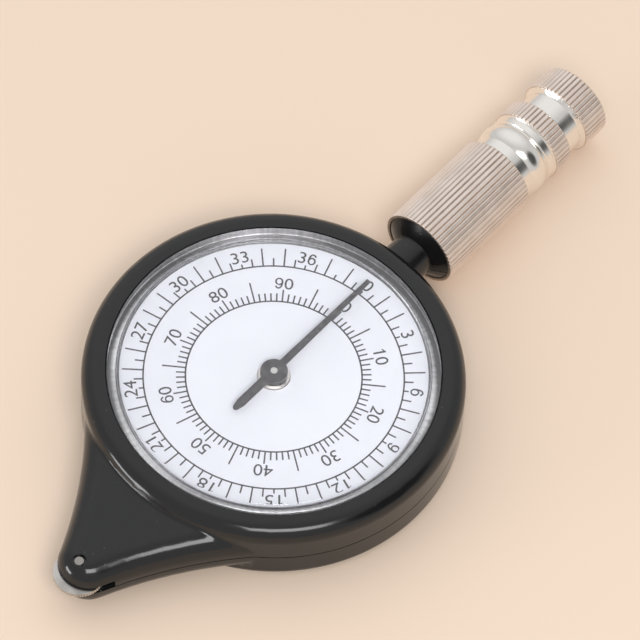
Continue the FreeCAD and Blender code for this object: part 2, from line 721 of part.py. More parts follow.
teeth = {name: value("sizes." + name + "_teeth")
         for name in ("wheel_pinion", "idler", "first_gear", "first_pinion", "second_gear",
                      "second_pinion", "centre_gear")}
fine_module = value("sizes.fine_module")
second_module = 2 * (place(PINS["first"]) - place(PINS["second"])).Length / value(SECOND_PAIR)
third_module = 2 * place(PINS["second"]).Length / value(THIRD_PAIR)
idler_phase = meshed_phase(teeth["wheel_pinion"], 0, bearing_between(WHEEL, PINS["idler"]), teeth["idler"])
first_phase = meshed_phase(teeth["idler"], idler_phase, bearing_between(PINS["idler"], PINS["first"]),
                           teeth["first_gear"])
second_phase = meshed_phase(teeth["first_pinion"], 0, bearing_between(PINS["first"], PINS["second"]),
                            teeth["second_gear"])
centre_phase = meshed_phase(teeth["second_pinion"], 0, bearing_between(PINS["second"], ARBOR),
                            teeth["centre_gear"])

low_bottom, low_top, over_low = value("sizes.low_level"), value(LOW_TOP), value(OVER_LOW)
high_bottom, high_top, hub_top = value(HIGH_BOTTOM), value(HIGH_TOP), value(HUB_TOP)
wheel_bottom, wheel_top = value(WHEEL_BOTTOM), value(WHEEL_TOP)
hub_radius, pin_radius = value("sizes.hub_radius"), value("sizes.pin_radius")
bore = rod_shape(value(BEARING_BORE), 0, value(CLEAR_OVER))

gear_part("wheel_pinion",
          toothed_disc(teeth["wheel_pinion"], fine_module, True, 0, low_bottom, over_low)
          .fuse([rod_shape(value("sizes.wheel_collar_radius"), over_low, wheel_bottom),
                 rod_shape(hub_radius, wheel_bottom, wheel_top)])
          .cut(bore), WHEEL)
gear_part("idler_gear",
          toothed_disc(teeth["idler"], fine_module, False, idler_phase, low_bottom, low_top)
          .fuse(rod_shape(hub_radius, low_top, hub_top))
          .cut(bore), PINS["idler"])
gear_part("first_gear",
          toothed_disc(teeth["first_gear"], fine_module, False, first_phase, low_bottom, low_top)
          .cut(rod_shape(hub_radius, 0, hub_top)), PINS["first"])
gear_part("first_pinion",
          toothed_disc(teeth["first_pinion"], second_module, True, 0, over_low, high_top)
          .fuse([rod_shape(hub_radius, low_bottom, over_low), rod_shape(hub_radius, high_top, hub_top)])
          .cut(bore), PINS["first"])
gear_part("second_gear",
          toothed_disc(teeth["second_gear"], second_module, False, second_phase, high_bottom, high_top)
          .cut(rod_shape(hub_radius, 0, hub_top)), PINS["second"])
gear_part("second_pinion",
          toothed_disc(teeth["second_pinion"], third_module, True, 0, low_bottom, high_bottom)
          .fuse(rod_shape(hub_radius, high_bottom, hub_top))
          .cut(bore), PINS["second"])
gear_part("centre_gear",
          toothed_disc(teeth["centre_gear"], third_module, False, centre_phase, low_bottom, low_top)
          .fuse(rod_shape(hub_radius, low_top, hub_top))
          .cut(rod_shape(pin_radius, 0, hub_top)), ARBOR)

# ---------------------------------------------------------------- tracing wheel

wheel = turned("wheel_disc", "XZ_Plane", [
    ("sizes.hub_radius", WHEEL_BOTTOM),
    ("sizes.wheel_radius", WHEEL_BOTTOM),
    ("sizes.wheel_radius", WHEEL_TOP),
    ("sizes.hub_radius", WHEEL_TOP),
])
notch_profile = polygon(sketch_on(wheel, "XY_Plane", "wheel_notch_profile"), [
    ("sizes.wheel_radius - sizes.wheel_tooth_depth", "0"),
    ("sizes.wheel_radius + sizes.wheel_tooth_depth", "-sizes.wheel_notch_width"),
    ("sizes.wheel_radius + sizes.wheel_tooth_depth", "sizes.wheel_notch_width"),
])
notch = wheel.newObject("PartDesign::Pocket", "wheel_notch")
notch.Profile = notch_profile
notch.Type = "ThroughAll"
notch.Midplane = True
repeat_round(wheel, notch, notch_profile, "sizes.wheel_teeth", "wheel_notches")
sub_part(bind(wheel, y=WHEEL_Y), "tracing_wheel")

# ---------------------------------------------------------------- pointer

POINTER_TIP = below(LENS_BORE, "pointer_clearance")
TAIL_END = "-sizes.pointer_tail"
TAPER_START = beyond(TAIL_END, "tail_taper")
blade = doc.addObject("PartDesign::Body", "pointer_blade")
blade_profile = polygon(sketch_on(blade, "XY_Plane", "blade_profile"), [
    ("-sizes.tail_end_radius", TAIL_END),
    ("sizes.tail_end_radius", TAIL_END),
    ("sizes.tail_width / 2", TAPER_START),
    ("sizes.tail_width / 2", "0"),
    ("sizes.pointer_root_width / 2", "sizes.pointer_hub_radius"),
    ("sizes.pointer_tip_width / 2", POINTER_TIP),
    ("-sizes.pointer_tip_width / 2", POINTER_TIP),
    ("-sizes.pointer_root_width / 2", "sizes.pointer_hub_radius"),
    ("-sizes.tail_width / 2", "0"),
    ("-sizes.tail_width / 2", TAPER_START),
])
blade_pad = blade.newObject("PartDesign::Pad", "blade_pad")
blade_pad.Profile = blade_profile
blade_pad.setExpression("Length", "sizes.pointer_thickness")
bind(blade, z=POINTER_BOTTOM)
pointer_blank = fuse(
    "pointer_blank", blade,
    upright("tail_end", ("0", TAIL_END), "sizes.tail_end_radius", POINTER_BOTTOM, POINTER_TOP),
    upright("pointer_hub", ARBOR, "sizes.pointer_hub_radius", below(POINTER_BOTTOM, "pointer_hub_depth"),
            POINTER_TOP))
sub_part(cut(
    "pointer_bored", pointer_blank,
    upright("pointer_bore", ARBOR, "sizes.pin_radius", "0", POINTER_BOTTOM),
    upright("pointer_tip_bore", ARBOR, ARBOR_TIP_RADIUS, "0", CLEAR_OVER)), "pointer")

# ---------------------------------------------------------------- handle


def knurl(body, name, radius, start, length):
    """Straight V grooves along the handle, from a station on."""
    profile = sketch_on(body, "XZ_Plane", name + "_profile")
    profile.setExpression("AttachmentOffset.Base.z", "-(%s)" % start)
    polygon(profile, [
        ("0", radius + " - sizes.knurl_depth"),
        ("sizes.knurl_width", radius + " + sizes.knurl_depth"),
        ("-sizes.knurl_width", radius + " + sizes.knurl_depth"),
    ])
    groove = body.newObject("PartDesign::Pocket", name)
    groove.Profile = profile
    groove.setExpression("Length", length)
    repeat_round(body, groove, profile, "sizes.knurl_count", name + "s")


barrel = turned("barrel_sleeve", "XY_Plane", [
    (BARREL_BORE, BARREL_START),
    (below("sizes.barrel_radius", "knurl_break"), BARREL_START),
    ("sizes.barrel_radius", beyond(BARREL_START, "knurl_break")),
    ("sizes.barrel_radius", below(BARREL_END, "knurl_break")),
    (below("sizes.barrel_radius", "knurl_break"), BARREL_END),
    (BARREL_BORE, BARREL_END),
])
knurl(barrel, "barrel_groove", "sizes.barrel_radius", BARREL_START, "sizes.barrel_length")
sub_part(bind(barrel, z=AXIS), "handle_barrel")

end_turned = turned("end_turned", "XY_Plane", [
    (PLUG_BORE, PLUG_START),
    (below(PLUG_RADIUS, "edge_break"), PLUG_START),
    (PLUG_RADIUS, beyond(PLUG_START, "edge_break")),
    (PLUG_RADIUS, BARREL_END),
    (WAIST_RADIUS, BARREL_END),
    (WAIST_RADIUS, BEAD_START),
    (BEAD_EDGE, BEAD_START, "sizes.bead_curve"),
    (BEAD_EDGE, BEAD_END),
    (GROOVE_RADIUS, BEAD_END),
    (GROOVE_RADIUS, COLLAR_START),
    (below(COLLAR_RADIUS, "edge_break"), COLLAR_START),
    (COLLAR_RADIUS, beyond(COLLAR_START, "edge_break")),
    (COLLAR_RADIUS, COLLAR_END),
    (RING_RADIUS, RING_START),
    (RING_RADIUS, below(RING_END, "knurl_break")),
    (below(RING_RADIUS, "knurl_break"), RING_END),
    (RECESS_RADIUS, RING_END),
    (RECESS_RADIUS, RECESS_END),
    (RING_RADIUS, CAP_START),
    (RING_RADIUS, below(CAP_END, "edge_break")),
    (below(RING_RADIUS, "edge_break"), CAP_END),
    ("0", CAP_END),
    ("0", PLUG_BORE_END),
    (PLUG_BORE, PLUG_BORE_END),
])
knurl(end_turned, "ring_groove", RING_RADIUS, COLLAR_END, "sizes.cone_length + sizes.ring_length")
knurl(end_turned, "cap_groove", RING_RADIUS, RECESS_END, "sizes.cap_lead + sizes.cap_length")

sub_part(bind(end_turned, z=AXIS), "handle_end")

# ---------------------------------------------------------------- check and write

doc.recompute()
for thing in doc.Objects:
    if "Invalid" in thing.State or "Error" in thing.State:
        raise RuntimeError("feature failed: %s %s" % (thing.Name, thing.State))
for thing in sub_parts:
    if thing.Shape.isNull() or not thing.Shape.isValid():
        raise RuntimeError("bad shape: " + thing.Label)
os.makedirs("parts", exist_ok=True)
for thing in sub_parts:
    thing.Shape.exportStep("parts/%s.step" % thing.Label)
    bounds = thing.Shape.optimalBoundingBox()
    print("%-14s %d solids %8.2f mm3  x %.2f..%.2f  y %.2f..%.2f  z %.2f..%.2f" % (
        thing.Label, len(thing.Shape.Solids), thing.Shape.Volume, bounds.XMin, bounds.XMax,
        bounds.YMin, bounds.YMax, bounds.ZMin, bounds.ZMax))
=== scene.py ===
"""Looks of a pocket map measurer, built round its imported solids.

Everything is in metres in the row frame: +Z up out of the dial, +Y along the handle, the back on Z = 0.
"""

from __future__ import annotations

import json
import logging
import math
import sys
from dataclasses import dataclass, field
from enum import Enum
from typing import Any

import bmesh
import bpy
import numpy as np
from mathutils import Euler, Matrix, Vector

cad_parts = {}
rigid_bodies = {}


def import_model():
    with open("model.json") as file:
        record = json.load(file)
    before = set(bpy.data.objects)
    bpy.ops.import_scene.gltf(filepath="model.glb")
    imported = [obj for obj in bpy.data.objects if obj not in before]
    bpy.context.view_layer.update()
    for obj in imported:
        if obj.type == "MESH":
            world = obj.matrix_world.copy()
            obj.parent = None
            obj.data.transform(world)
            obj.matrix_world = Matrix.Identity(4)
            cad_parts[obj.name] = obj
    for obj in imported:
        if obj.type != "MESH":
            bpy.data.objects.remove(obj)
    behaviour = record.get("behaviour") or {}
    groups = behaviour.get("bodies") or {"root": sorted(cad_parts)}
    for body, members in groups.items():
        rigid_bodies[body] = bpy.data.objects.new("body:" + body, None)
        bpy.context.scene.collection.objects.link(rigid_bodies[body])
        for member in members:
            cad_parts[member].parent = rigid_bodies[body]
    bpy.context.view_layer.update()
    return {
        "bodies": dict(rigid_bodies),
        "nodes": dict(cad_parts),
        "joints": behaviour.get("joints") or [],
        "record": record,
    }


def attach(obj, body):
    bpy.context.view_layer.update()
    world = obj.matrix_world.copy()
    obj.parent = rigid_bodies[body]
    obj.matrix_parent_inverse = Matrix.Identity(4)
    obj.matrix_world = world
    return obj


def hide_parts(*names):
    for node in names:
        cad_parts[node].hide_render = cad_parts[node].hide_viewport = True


LOG = logging.getLogger("map_measurer")
MM = 0.001
WELD = 2e-6
CREASE = 32.0

# The values of a noise between which a colour or a gloss changes: over soft clouds, and over stains.
CLOUDED = (0.3, 0.7)
STAINED = (0.35, 0.7)

Colour = tuple[float, float, float]
Pair = tuple[float, float]
Object = bpy.types.Object
Socket = bpy.types.NodeSocket


# ---------------------------------------------------------------- node trees


class Tree:
    """Short hands for adding and joining the nodes of one tree."""

    def __init__(self, tree: bpy.types.NodeTree) -> None:
        """Empties the tree and keeps it."""
        self.tree = tree
        tree.nodes.clear()

    def add(self, kind: str, values: dict[Any, Any] | None = None, **settings: Any) -> bpy.types.Node:
        """Adds a node.

        Args:
            kind: The node's type, such as "ShaderNodeMath".
            values: For each input, by name or number, a value or a socket that feeds it.
            settings: The node's own properties.

        Returns:
            The new node.
        """
        node = self.tree.nodes.new(kind)
        for name, setting in settings.items():
            setattr(node, name, setting)
        for name, what in (values or {}).items():
            if isinstance(what, bpy.types.NodeSocket):
                self.tree.links.new(what, node.inputs[name])
            else:
                node.inputs[name].default_value = what
        return node

    def maths(self, operation: str, first: Any, second: Any = 0.0, clamp: bool = False) -> Socket:
        """A sum of two numbers or sockets; the result's socket."""
        kind = "ShaderNodeMath"
        return self.add(kind, {0: first, 1: second}, operation=operation, use_clamp=clamp).outputs[0]

    def reach(self, first: Socket, second: Socket) -> Socket:
        """How far a point is that stands so far off one way and so far the other; the result's socket."""
        squares = (self.maths("POWER", side, 2) for side in (first, second))
        return self.maths("SQRT", self.maths("ADD", *squares))

    def spread(self, source: Socket, low: float, high: float, start: float = 0.0, end: float = 1.0) -> Socket:
        """A value carried from start..end to low..high, held at the ends; the result's socket."""
        values = {"Value": source, "From Min": start, "From Max": end, "To Min": low, "To Max": high}
        return self.add("ShaderNodeMapRange", values).outputs["Result"]

    def blend(self, share: Any, first: Any, second: Any) -> Socket:
        """Mixes two colours.

        Args:
            share: How much of the second there is, a number or a socket.
            first: A colour or its socket.
            second: Another.

        Returns:
            The mix's socket.
        """
        node = self.add("ShaderNodeMix", {0: share}, data_type="RGBA")
        for number, what in ((6, first), (7, second)):
            if isinstance(what, bpy.types.NodeSocket):
                self.tree.links.new(what, node.inputs[number])
            else:
                node.inputs[number].default_value = (*what, 1.0)
        return node.outputs[2]


class Shader(Tree):
    """A material's tree, with the patterns that several finishes share."""

    def __init__(self, name: str) -> None:
        """Makes the material and its output node.

        Args:
            name: The material's name.
        """
        self.material = bpy.data.materials.new(name)
        self.material.use_nodes = True
        super().__init__(self.material.node_tree)
        self.output = self.add("ShaderNodeOutputMaterial")
        self.place = self.add("ShaderNodeTexCoord").outputs["Object"]

    def moved(self, shift: tuple[float, float, float], stretch: tuple[float, float, float]) -> Socket:
        """Object coordinates, shifted and stretched; the result's socket."""
        values = {"Vector": self.place, "Location": shift, "Scale": stretch}
        return self.add("ShaderNodeMapping", values).outputs["Vector"]

    def noise(self, scale: float, detail: float = 3.0, source: Socket | None = None) -> Socket:
        """Noise of that many cells to the metre; its value socket."""
        values = {"Vector": source or self.place, "Scale": scale, "Detail": detail}
        return self.add("ShaderNodeTexNoise", values).outputs["Fac"]

    def line_noise(self, along: Socket, scale: float, detail: float = 4.0) -> Socket:
        """Noise that changes along one number only, as turned lines do; its value socket."""
        values = {"W": along, "Scale": scale, "Detail": detail}
        return self.add("ShaderNodeTexNoise", values, noise_dimensions="1D").outputs["Fac"]

    def radius(self, centre: Pair) -> Socket:
        """The distance from an upright axis through that place, in metres; its socket."""
        apart = self.add("ShaderNodeSeparateXYZ", {0: self.moved((-centre[0], -centre[1], 0), (1, 1, 1))})
        return self.reach(*apart.outputs[:2])

    def specks(self, scale: float, share: float, kept: float = 0.62) -> Socket:
        """A mask of small scattered specks.

        Args:
            scale: Cells to the metre.
            share: How large a speck is, as a share of its cell.
            kept: How strong a second noise has to be where specks show.

        Returns:
            The mask's value socket.
        """
        cells = self.add("ShaderNodeTexVoronoi", {"Vector": self.place, "Scale": scale})
        chosen = self.maths("GREATER_THAN", self.noise(scale * 0.31, 1.0), kept)
        dots = self.spread(cells.outputs["Distance"], 1.0, 0.0, share * 0.5, share)
        return self.maths("MULTIPLY", dots, chosen)

    def scratches(self, scale: float, turn: float, width: float, stretch: float = 0.035,
                  kept: Pair = (0.5, 0.62)) -> Socket:
        """A mask of long fine scratches that run one way.

        Args:
            scale: Scratches to the metre.
            turn: Their direction about Z, in degrees.
            width: How wide one is, as a share of its cell.
            stretch: A cell's width over its length.
            kept: The values of a second noise between which scratches start to show.

        Returns:
            The mask's value socket.
        """
        turned = self.add("ShaderNodeMapping", {"Vector": self.place, "Rotation": (0, 0, math.radians(turn))})
        bent = self.add("ShaderNodeMapping", {"Vector": turned.outputs[0], "Scale": (1.0, stretch, 1.0)})
        values = {"Vector": bent.outputs[0], "Scale": scale}
        cells = self.add("ShaderNodeTexVoronoi", values, feature="DISTANCE_TO_EDGE")
        lines = self.spread(cells.outputs["Distance"], 1.0, 0.0, 0.0, width)
        return self.maths("MULTIPLY", lines, self.spread(self.noise(scale * 0.4, 1.0), 0, 1, *kept))

    def bump(self, height: Socket, depth: float, strength: Any = 1.0, under: Socket | None = None) -> Socket:
        """A bump, over another one if given.

        Args:
            height: What rises and falls.
            depth: By how much, in metres.
            strength: How much of it shows, a number or a socket.
            under: The normal of the bump below.

        Returns:
            The bump's normal socket.
        """
        values: dict[Any, Any] = {"Height": height, "Distance": depth, "Strength": strength}
        if under is not None:
            values["Normal"] = under
        return self.add("ShaderNodeBump", values).outputs["Normal"]

    def principled(self, **values: Any) -> bpy.types.Node:
        """Adds the surface shader and shows it.

        Args:
            values: Its inputs; an underscore in a name stands for a blank.

        Returns:
            The shader's node.
        """
        inputs = {name.replace("_", " "): what for name, what in values.items()}
        node = self.add("ShaderNodeBsdfPrincipled", inputs)
        self.tree.links.new(node.outputs[0], self.output.inputs["Surface"])
        return node


# ---------------------------------------------------------------- finishes


@dataclass(frozen=True)
class SatinPlastic:
    """Moulded black plastic: a fine moulded skin, dust specks and a few hair scratches.

    Cells are to the metre; a set of scratches has its cells, its direction in degrees and its width.
    """

    name: str = "satin_black_plastic"
    colour: Colour = (0.0085, 0.0083, 0.0088)
    dust: Colour = (0.09, 0.08, 0.07)
    smooth: float = 0.11
    dull: float = 0.18
    cloud_cells: float = 140.0
    speck_cells: float = 900.0
    speck_share: float = 0.16
    scratch_sets: tuple[tuple[float, float, float], ...] = ((420.0, 24.0, 0.012), (300.0, -51.0, 0.010))
    scratch_weight: float = 0.15
    mark_tint: float = 0.35
    mark_rough: float = 0.2
    skin_cells: float = 5200.0
    skin_depth: float = 2.2e-6
    skin_strength: float = 0.35
    ior: float = 1.5

    def make(self) -> bpy.types.Material:
        """Builds the material.

        Returns:
            The material.
        """
        s = Shader(self.name)
        clouds = s.noise(self.cloud_cells, 4.0)
        specks = s.specks(self.speck_cells, self.speck_share)
        scratches = s.maths("MAXIMUM", *(s.scratches(*lines) for lines in self.scratch_sets))
        marks = s.maths("MAXIMUM", specks, s.maths("MULTIPLY", scratches, self.scratch_weight))
        colour = s.blend(s.maths("MULTIPLY", marks, self.mark_tint), self.colour, self.dust)
        cloudy = s.spread(clouds, self.smooth, self.dull, *CLOUDED)
        rough = s.maths("ADD", cloudy, s.maths("MULTIPLY", marks, self.mark_rough))
        normal = s.bump(s.noise(self.skin_cells, 2.0), self.skin_depth, self.skin_strength)
        s.principled(Base_Color=colour, Roughness=rough, IOR=self.ior, Normal=normal)
        return s.material


@dataclass(frozen=True)
class Metal:
    """Bare or plated metal with tool marks in rings about an upright axis, and small stains.

    The axis's centre and the depths are in metres, lines and cells to the metre.
    """

    name: str
    colour: Colour
    tarnish: Colour
    smooth: float
    dull: float
    centre: Pair = (0.0, 0.0)
    lines: float = 9000.0
    line_depth: float = 1.5e-6
    line_strength: float = 0.6
    line_rough: float = 0.06
    stain_cells: float = 420.0
    stain_span: Pair = (0.42, 0.75)
    grain_cells: float = 2600.0
    grain_depth: float = 2.0e-6
    grain_strength: float = 0.25

    def make(self) -> bpy.types.Material:
        """Builds the material.

        Returns:
            The material.
        """
        s = Shader(self.name)
        marks = s.line_noise(s.radius(self.centre), self.lines)
        stains = s.noise(self.stain_cells, 5.0)
        colour = s.blend(s.spread(stains, 0.0, 1.0, *self.stain_span), self.colour, self.tarnish)
        stained = s.spread(stains, self.smooth, self.dull, *STAINED)
        rough = s.maths("ADD", stained, s.spread(marks, 0.0, self.line_rough))
        ringed = s.bump(marks, self.line_depth, self.line_strength)
        normal = s.bump(s.noise(self.grain_cells, 3.0), self.grain_depth, self.grain_strength, ringed)
        s.principled(Base_Color=colour, Metallic=1.0, Roughness=rough, Normal=normal)
        return s.material


@dataclass(frozen=True)
class Nickel:
    """Nickel plate over knurled brass: bright where it is turned, duller down in the knurl and darker there
    by painted shade.

    Sizes are in millimetres, bump depths in metres, lines and cells to the metre. Without bands the
    whole piece is knurled. The painted shade in the grooves is full at the first share of their depth
    and ends at the second; its strength varies in soft clouds.
    """

    name: str
    height: float
    radius: float
    depth: float
    bands: tuple[Pair, ...] = ()
    bright: Colour = (0.91, 0.80, 0.73)
    worn: Colour = (0.82, 0.705, 0.63)
    polished: Colour = (0.90, 0.86, 0.81)
    # The painted shade's colour, down in the knurl's grooves.
    groove: Colour = (0.54, 0.44, 0.36)
    turned_rough: Pair = (0.10, 0.20)
    knurl_rough: Pair = (0.38, 0.52)
    dark_shares: Pair = (0.8, 0.15)
    grime_cells: float = 700.0
    grime_least: float = 0.55
    stain_cells: float = 380.0
    stain_span: Pair = (0.4, 0.72)
    wear_cells: float = 1500.0
    lines: float = 6000.0
    line_depth: float = 1.2e-6
    line_strength: float = 0.5
    grain_cells: float = 3200.0
    grain_depth: float = 4.0e-6
    grain_strength: float = 0.5

    def knurled(self, s: Shader, along: Socket) -> Any:
        """Tells the knurled bands from the turned ones.

        Args:
            s: The material's tree.
            along: The place along the handle, in metres.

        Returns:
            1 in a knurled band and 0 elsewhere, a number or its socket.
        """
        if not self.bands:
            return 1.0
        inside: Any = 0.0
        for start, end in self.bands:
            past = s.maths("GREATER_THAN", along, start * MM)
            short = s.maths("LESS_THAN", along, end * MM)
            inside = s.maths("ADD", inside, s.maths("MULTIPLY", past, short))
        return inside

    def make(self) -> bpy.types.Material:
        """Builds the material.

        Returns:
            The material.
        """
        s = Shader(self.name)
        apart = s.add("ShaderNodeSeparateXYZ", {0: s.moved((0, 0, -self.height * MM), (1, 1, 1))})
        x, y, z = apart.outputs
        out = s.reach(x, z)
        deep = s.spread(out, 1.0, 0.0, *((self.radius - self.depth * n) * MM for n in self.dark_shares))
        knurled = self.knurled(s, y)
        cloudy = s.spread(s.noise(self.grime_cells, 4.0), self.grime_least, 1.0, *CLOUDED)
        # Painted shade: darkens the knurled bands down in their grooves, its strength varied in soft clouds.
        painted_groove_shade = s.maths("MULTIPLY", s.maths("MULTIPLY", deep, knurled), cloudy)
        stains = s.noise(self.stain_cells, 5.0)
        stained = s.blend(s.spread(stains, 0.0, 1.0, *self.stain_span), self.bright, self.worn)
        colour = s.blend(painted_groove_shade, s.blend(knurled, self.polished, stained), self.groove)
        turned = s.spread(stains, *self.turned_rough, *STAINED)
        ribbed = s.spread(s.noise(self.wear_cells, 3.0), *self.knurl_rough, *CLOUDED)
        rough = s.add("ShaderNodeMix", {0: knurled, 2: turned, 3: ribbed}, data_type="FLOAT").outputs[0]
        ringed = s.bump(s.line_noise(y, self.lines), self.line_depth, self.line_strength)
        grain = s.maths("MULTIPLY", knurled, self.grain_strength)
        normal = s.bump(s.noise(self.grain_cells, 3.0), self.grain_depth, grain, ringed)
        s.principled(Base_Color=colour, Metallic=1.0, Roughness=rough, Normal=normal)
        return s.material


@dataclass(frozen=True)
class ClearAcrylic:
    """Clear moulded plastic that lets the lamps through, with fine wear on its face."""

    name: str = "clear_acrylic"
    colour: Colour = (0.985, 0.99, 0.99)
    ior: float = 1.49
    scratch_sets: tuple[tuple[float, float, float], ...] = ((260.0, 12.0, 0.008), (340.0, 71.0, 0.008))
    wear_rough: float = 0.12
    wear_depth: float = 2.0e-6
    wear_strength: float = 0.3
    cloud_cells: float = 90.0
    cloud_rough: float = 0.03

    def make(self) -> bpy.types.Material:
        """Builds the material.

        Returns:
            The material.
        """
        s = Shader(self.name)
        wear = s.maths("MAXIMUM", *(s.scratches(*lines) for lines in self.scratch_sets))
        clouds = s.spread(s.noise(self.cloud_cells), 0.0, self.cloud_rough)
        rough = s.maths("ADD", s.maths("MULTIPLY", wear, self.wear_rough), clouds)
        normal = s.bump(wear, self.wear_depth, self.wear_strength)
        glass = s.principled(Base_Color=(*self.colour, 1), Roughness=rough, IOR=self.ior,
                             Transmission_Weight=1.0, Normal=normal)
        open_air = s.add("ShaderNodeBsdfTransparent", {"Color": (*self.colour, 1)})
        shadow = s.add("ShaderNodeLightPath").outputs["Is Shadow Ray"]
        both = s.add("ShaderNodeMixShader", {0: shadow, 1: glass.outputs[0], 2: open_air.outputs[0]})
        s.tree.links.new(both.outputs[0], s.output.inputs["Surface"])
        return s.material


@dataclass(frozen=True)
class Silvered:
    """A moulded edge with a painted reflection: the silvery shine of light inside the clear plastic, in
    streaks across it.

    It has painted shade (dim) between its foot and its wall and the painted silvery reflection (bright)
    beyond them; each pair has the distances from the dial's middle between which it changes, in metres.
    """

    name: str
    # bright is the painted silvery reflection; dim is the painted shade between foot and wall.
    bright: Colour = (0.84, 0.83, 0.85)
    dim: Colour = (0.20, 0.195, 0.20)
    smooth: float = 0.18
    dull: float = 0.38
    foot: Pair = (0.02025, 0.0208)
    wall: Pair = (0.02112, 0.02122)
    patch_cells: float = 75.0
    patch_shade: Pair = (-0.1, 0.35)
    patch_span: Pair = (0.38, 0.62)
    dull_span: Pair = (0.35, 0.65)
    streaks: float = 34.0
    streak_shade: Pair = (-0.1, 0.16)

    def make(self) -> bpy.types.Material:
        """Builds the material.

        Returns:
            The material.
        """
        s = Shader(self.name)
        x, y, _ = s.add("ShaderNodeSeparateXYZ", {0: s.place}).outputs
        bearing = s.maths("ARCTAN2", y, x)
        out = s.radius((0.0, 0.0))
        # Painted shade between the foot and the wall, painted reflection on both sides, shifted by patches
        # and streaks.
        shade = s.maths("MULTIPLY", s.spread(out, 0.0, 1.0, *self.foot), s.spread(out, 1.0, 0.0, *self.wall))
        patches = s.noise(self.patch_cells, 2.0)
        shade = s.maths("ADD", shade, s.spread(patches, *self.patch_shade, *self.patch_span))
        lines = s.spread(s.line_noise(bearing, self.streaks, 5.0), *self.streak_shade, *CLOUDED)
        colour = s.blend(s.maths("ADD", shade, lines, True), self.bright, self.dim)
        rough = s.spread(patches, self.smooth, self.dull, *self.dull_span)
        s.principled(Base_Color=colour, Metallic=1.0, Roughness=rough)
        return s.material


@dataclass(frozen=True)
class Paint:
    """Flat paint or printing ink, with slight clouds and a faint tooth."""

    name: str
    colour: Colour
    shade: Colour
    roughness: float = 0.5
    cloud_cells: float = 160.0
    tooth: float = 2.0e-6
    metallic: float = 0.0
    tooth_cells: float = 4200.0
    tooth_strength: float = 0.3
    wear_cells: float = 1100.0
    wear_rough: Pair = (-0.06, 0.08)

    def make(self) -> bpy.types.Material:
        """Builds the material.

        Returns:
            The material.
        """
        s = Shader(self.name)
        clouds = s.spread(s.noise(self.cloud_cells, 4.0), 0.0, 1.0, *STAINED)
        colour = s.blend(clouds, self.colour, self.shade)
        low, high = (self.roughness + more for more in self.wear_rough)
        rough = s.spread(s.noise(self.wear_cells), low, high, *CLOUDED)
        normal = s.bump(s.noise(self.tooth_cells, 3.0), self.tooth, self.tooth_strength)
        s.principled(Base_Color=colour, Roughness=rough, Metallic=self.metallic, Normal=normal)
        return s.material


# ---------------------------------------------------------------- mesh helpers


def object_of(name: str, data: bpy.types.ID) -> Object:
    """Links a new object at the origin.

    Args:
        name: Its name.
        data: The mesh or curve that it shows.

    Returns:
        The object.
    """
    thing = bpy.data.objects.new(name, data)
    bpy.context.scene.collection.objects.link(thing)
    return thing


def crease_edges(shape: bmesh.types.BMesh, crease: float) -> None:
    """Smooths every face and keeps the sharp edges.

    Args:
        shape: The mesh to change.
        crease: Edges that turn by more than this many degrees stay sharp.
    """
    for edge in shape.edges:
        edge.smooth = not edge.is_manifold or edge.calc_face_angle(0.0) < math.radians(crease)
    for face in shape.faces:
        face.smooth = True
        face.material_index = 0


def smooth_copy(frame: dict[str, Any], node: str, name: str, crease: float = CREASE) -> Object:
    """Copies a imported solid, welds its loose triangles and smooths it but for its creases.

    Args:
        frame: What the frame's loading gave.
        node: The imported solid's name.
        name: The copy's name.
        crease: Edges sharper than this many degrees stay sharp.

    Returns:
        The copy, at the origin.
    """
    mesh = frame["nodes"][node].data.copy()
    shape = bmesh.new()
    shape.from_mesh(mesh)
    bmesh.ops.remove_doubles(shape, verts=shape.verts, dist=WELD)
    crease_edges(shape, crease)
    shape.to_mesh(mesh)
    shape.free()
    mesh.name = name
    copy = object_of(name, mesh)
    weigh = copy.modifiers.new("weigh_normals", "WEIGHTED_NORMAL")
    weigh.keep_sharp = True
    return copy


def dress(thing: Object, material: bpy.types.Material) -> Object:
    """Gives an object one material and no other.

    Args:
        thing: The object.
        material: Its material.

    Returns:
        The same object.
    """
    thing.data.materials.clear()
    thing.data.materials.append(material)
    return thing


def stand_in(piece: Object, node: str, body: str) -> None:
    """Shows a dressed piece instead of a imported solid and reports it.

    Args:
        piece: The piece.
        node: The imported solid's name.
        body: The body that both ride on.
    """
    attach(piece, body)
    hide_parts(node)
    LOG.info("%s: %d faces", piece.name, len(piece.data.polygons))


def skin(frame: dict[str, Any], node: str, name: str, body: str, material: bpy.types.Material,
         crease: float = CREASE) -> None:
    """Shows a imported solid's smoothed and dressed copy, on the same body, instead of it."""
    stand_in(dress(smooth_copy(frame, node, name, crease), material), node, body)


def evaluated_mesh(thing: Object, name: str) -> bpy.types.Mesh:
    """Makes a plain mesh of an object as its modifiers show it.

    Args:
        thing: The object.
        name: The mesh's name.

    Returns:
        The mesh.
    """
    graph = bpy.context.evaluated_depsgraph_get()
    mesh = bpy.data.meshes.new_from_object(thing.evaluated_get(graph))
    mesh.name = name
    return mesh


def run_tree(tree: bpy.types.NodeTree, name: str, inputs: dict[str, Any],
             seed: bpy.types.Mesh | None = None) -> Object:
    """Runs a geometry tree and keeps its result as a plain mesh.

    Args:
        tree: The tree, whose first input is its geometry.
        name: The new object's name.
        inputs: A value for each named input.
        seed: The mesh that the tree starts from, if any.

    Returns:
        The new object, with no modifier left.
    """
    maker = object_of(name, seed or bpy.data.meshes.new(name + "_seed"))
    modifier = maker.modifiers.new("make", "NODES")
    modifier.node_group = tree
    for item in tree.interface.items_tree:
        if item.item_type == "SOCKET" and item.in_out == "INPUT" and item.name in inputs:
            modifier[item.identifier] = inputs[item.name]
    mesh = evaluated_mesh(maker, name)
    bpy.data.objects.remove(maker)
    return object_of(name, mesh)


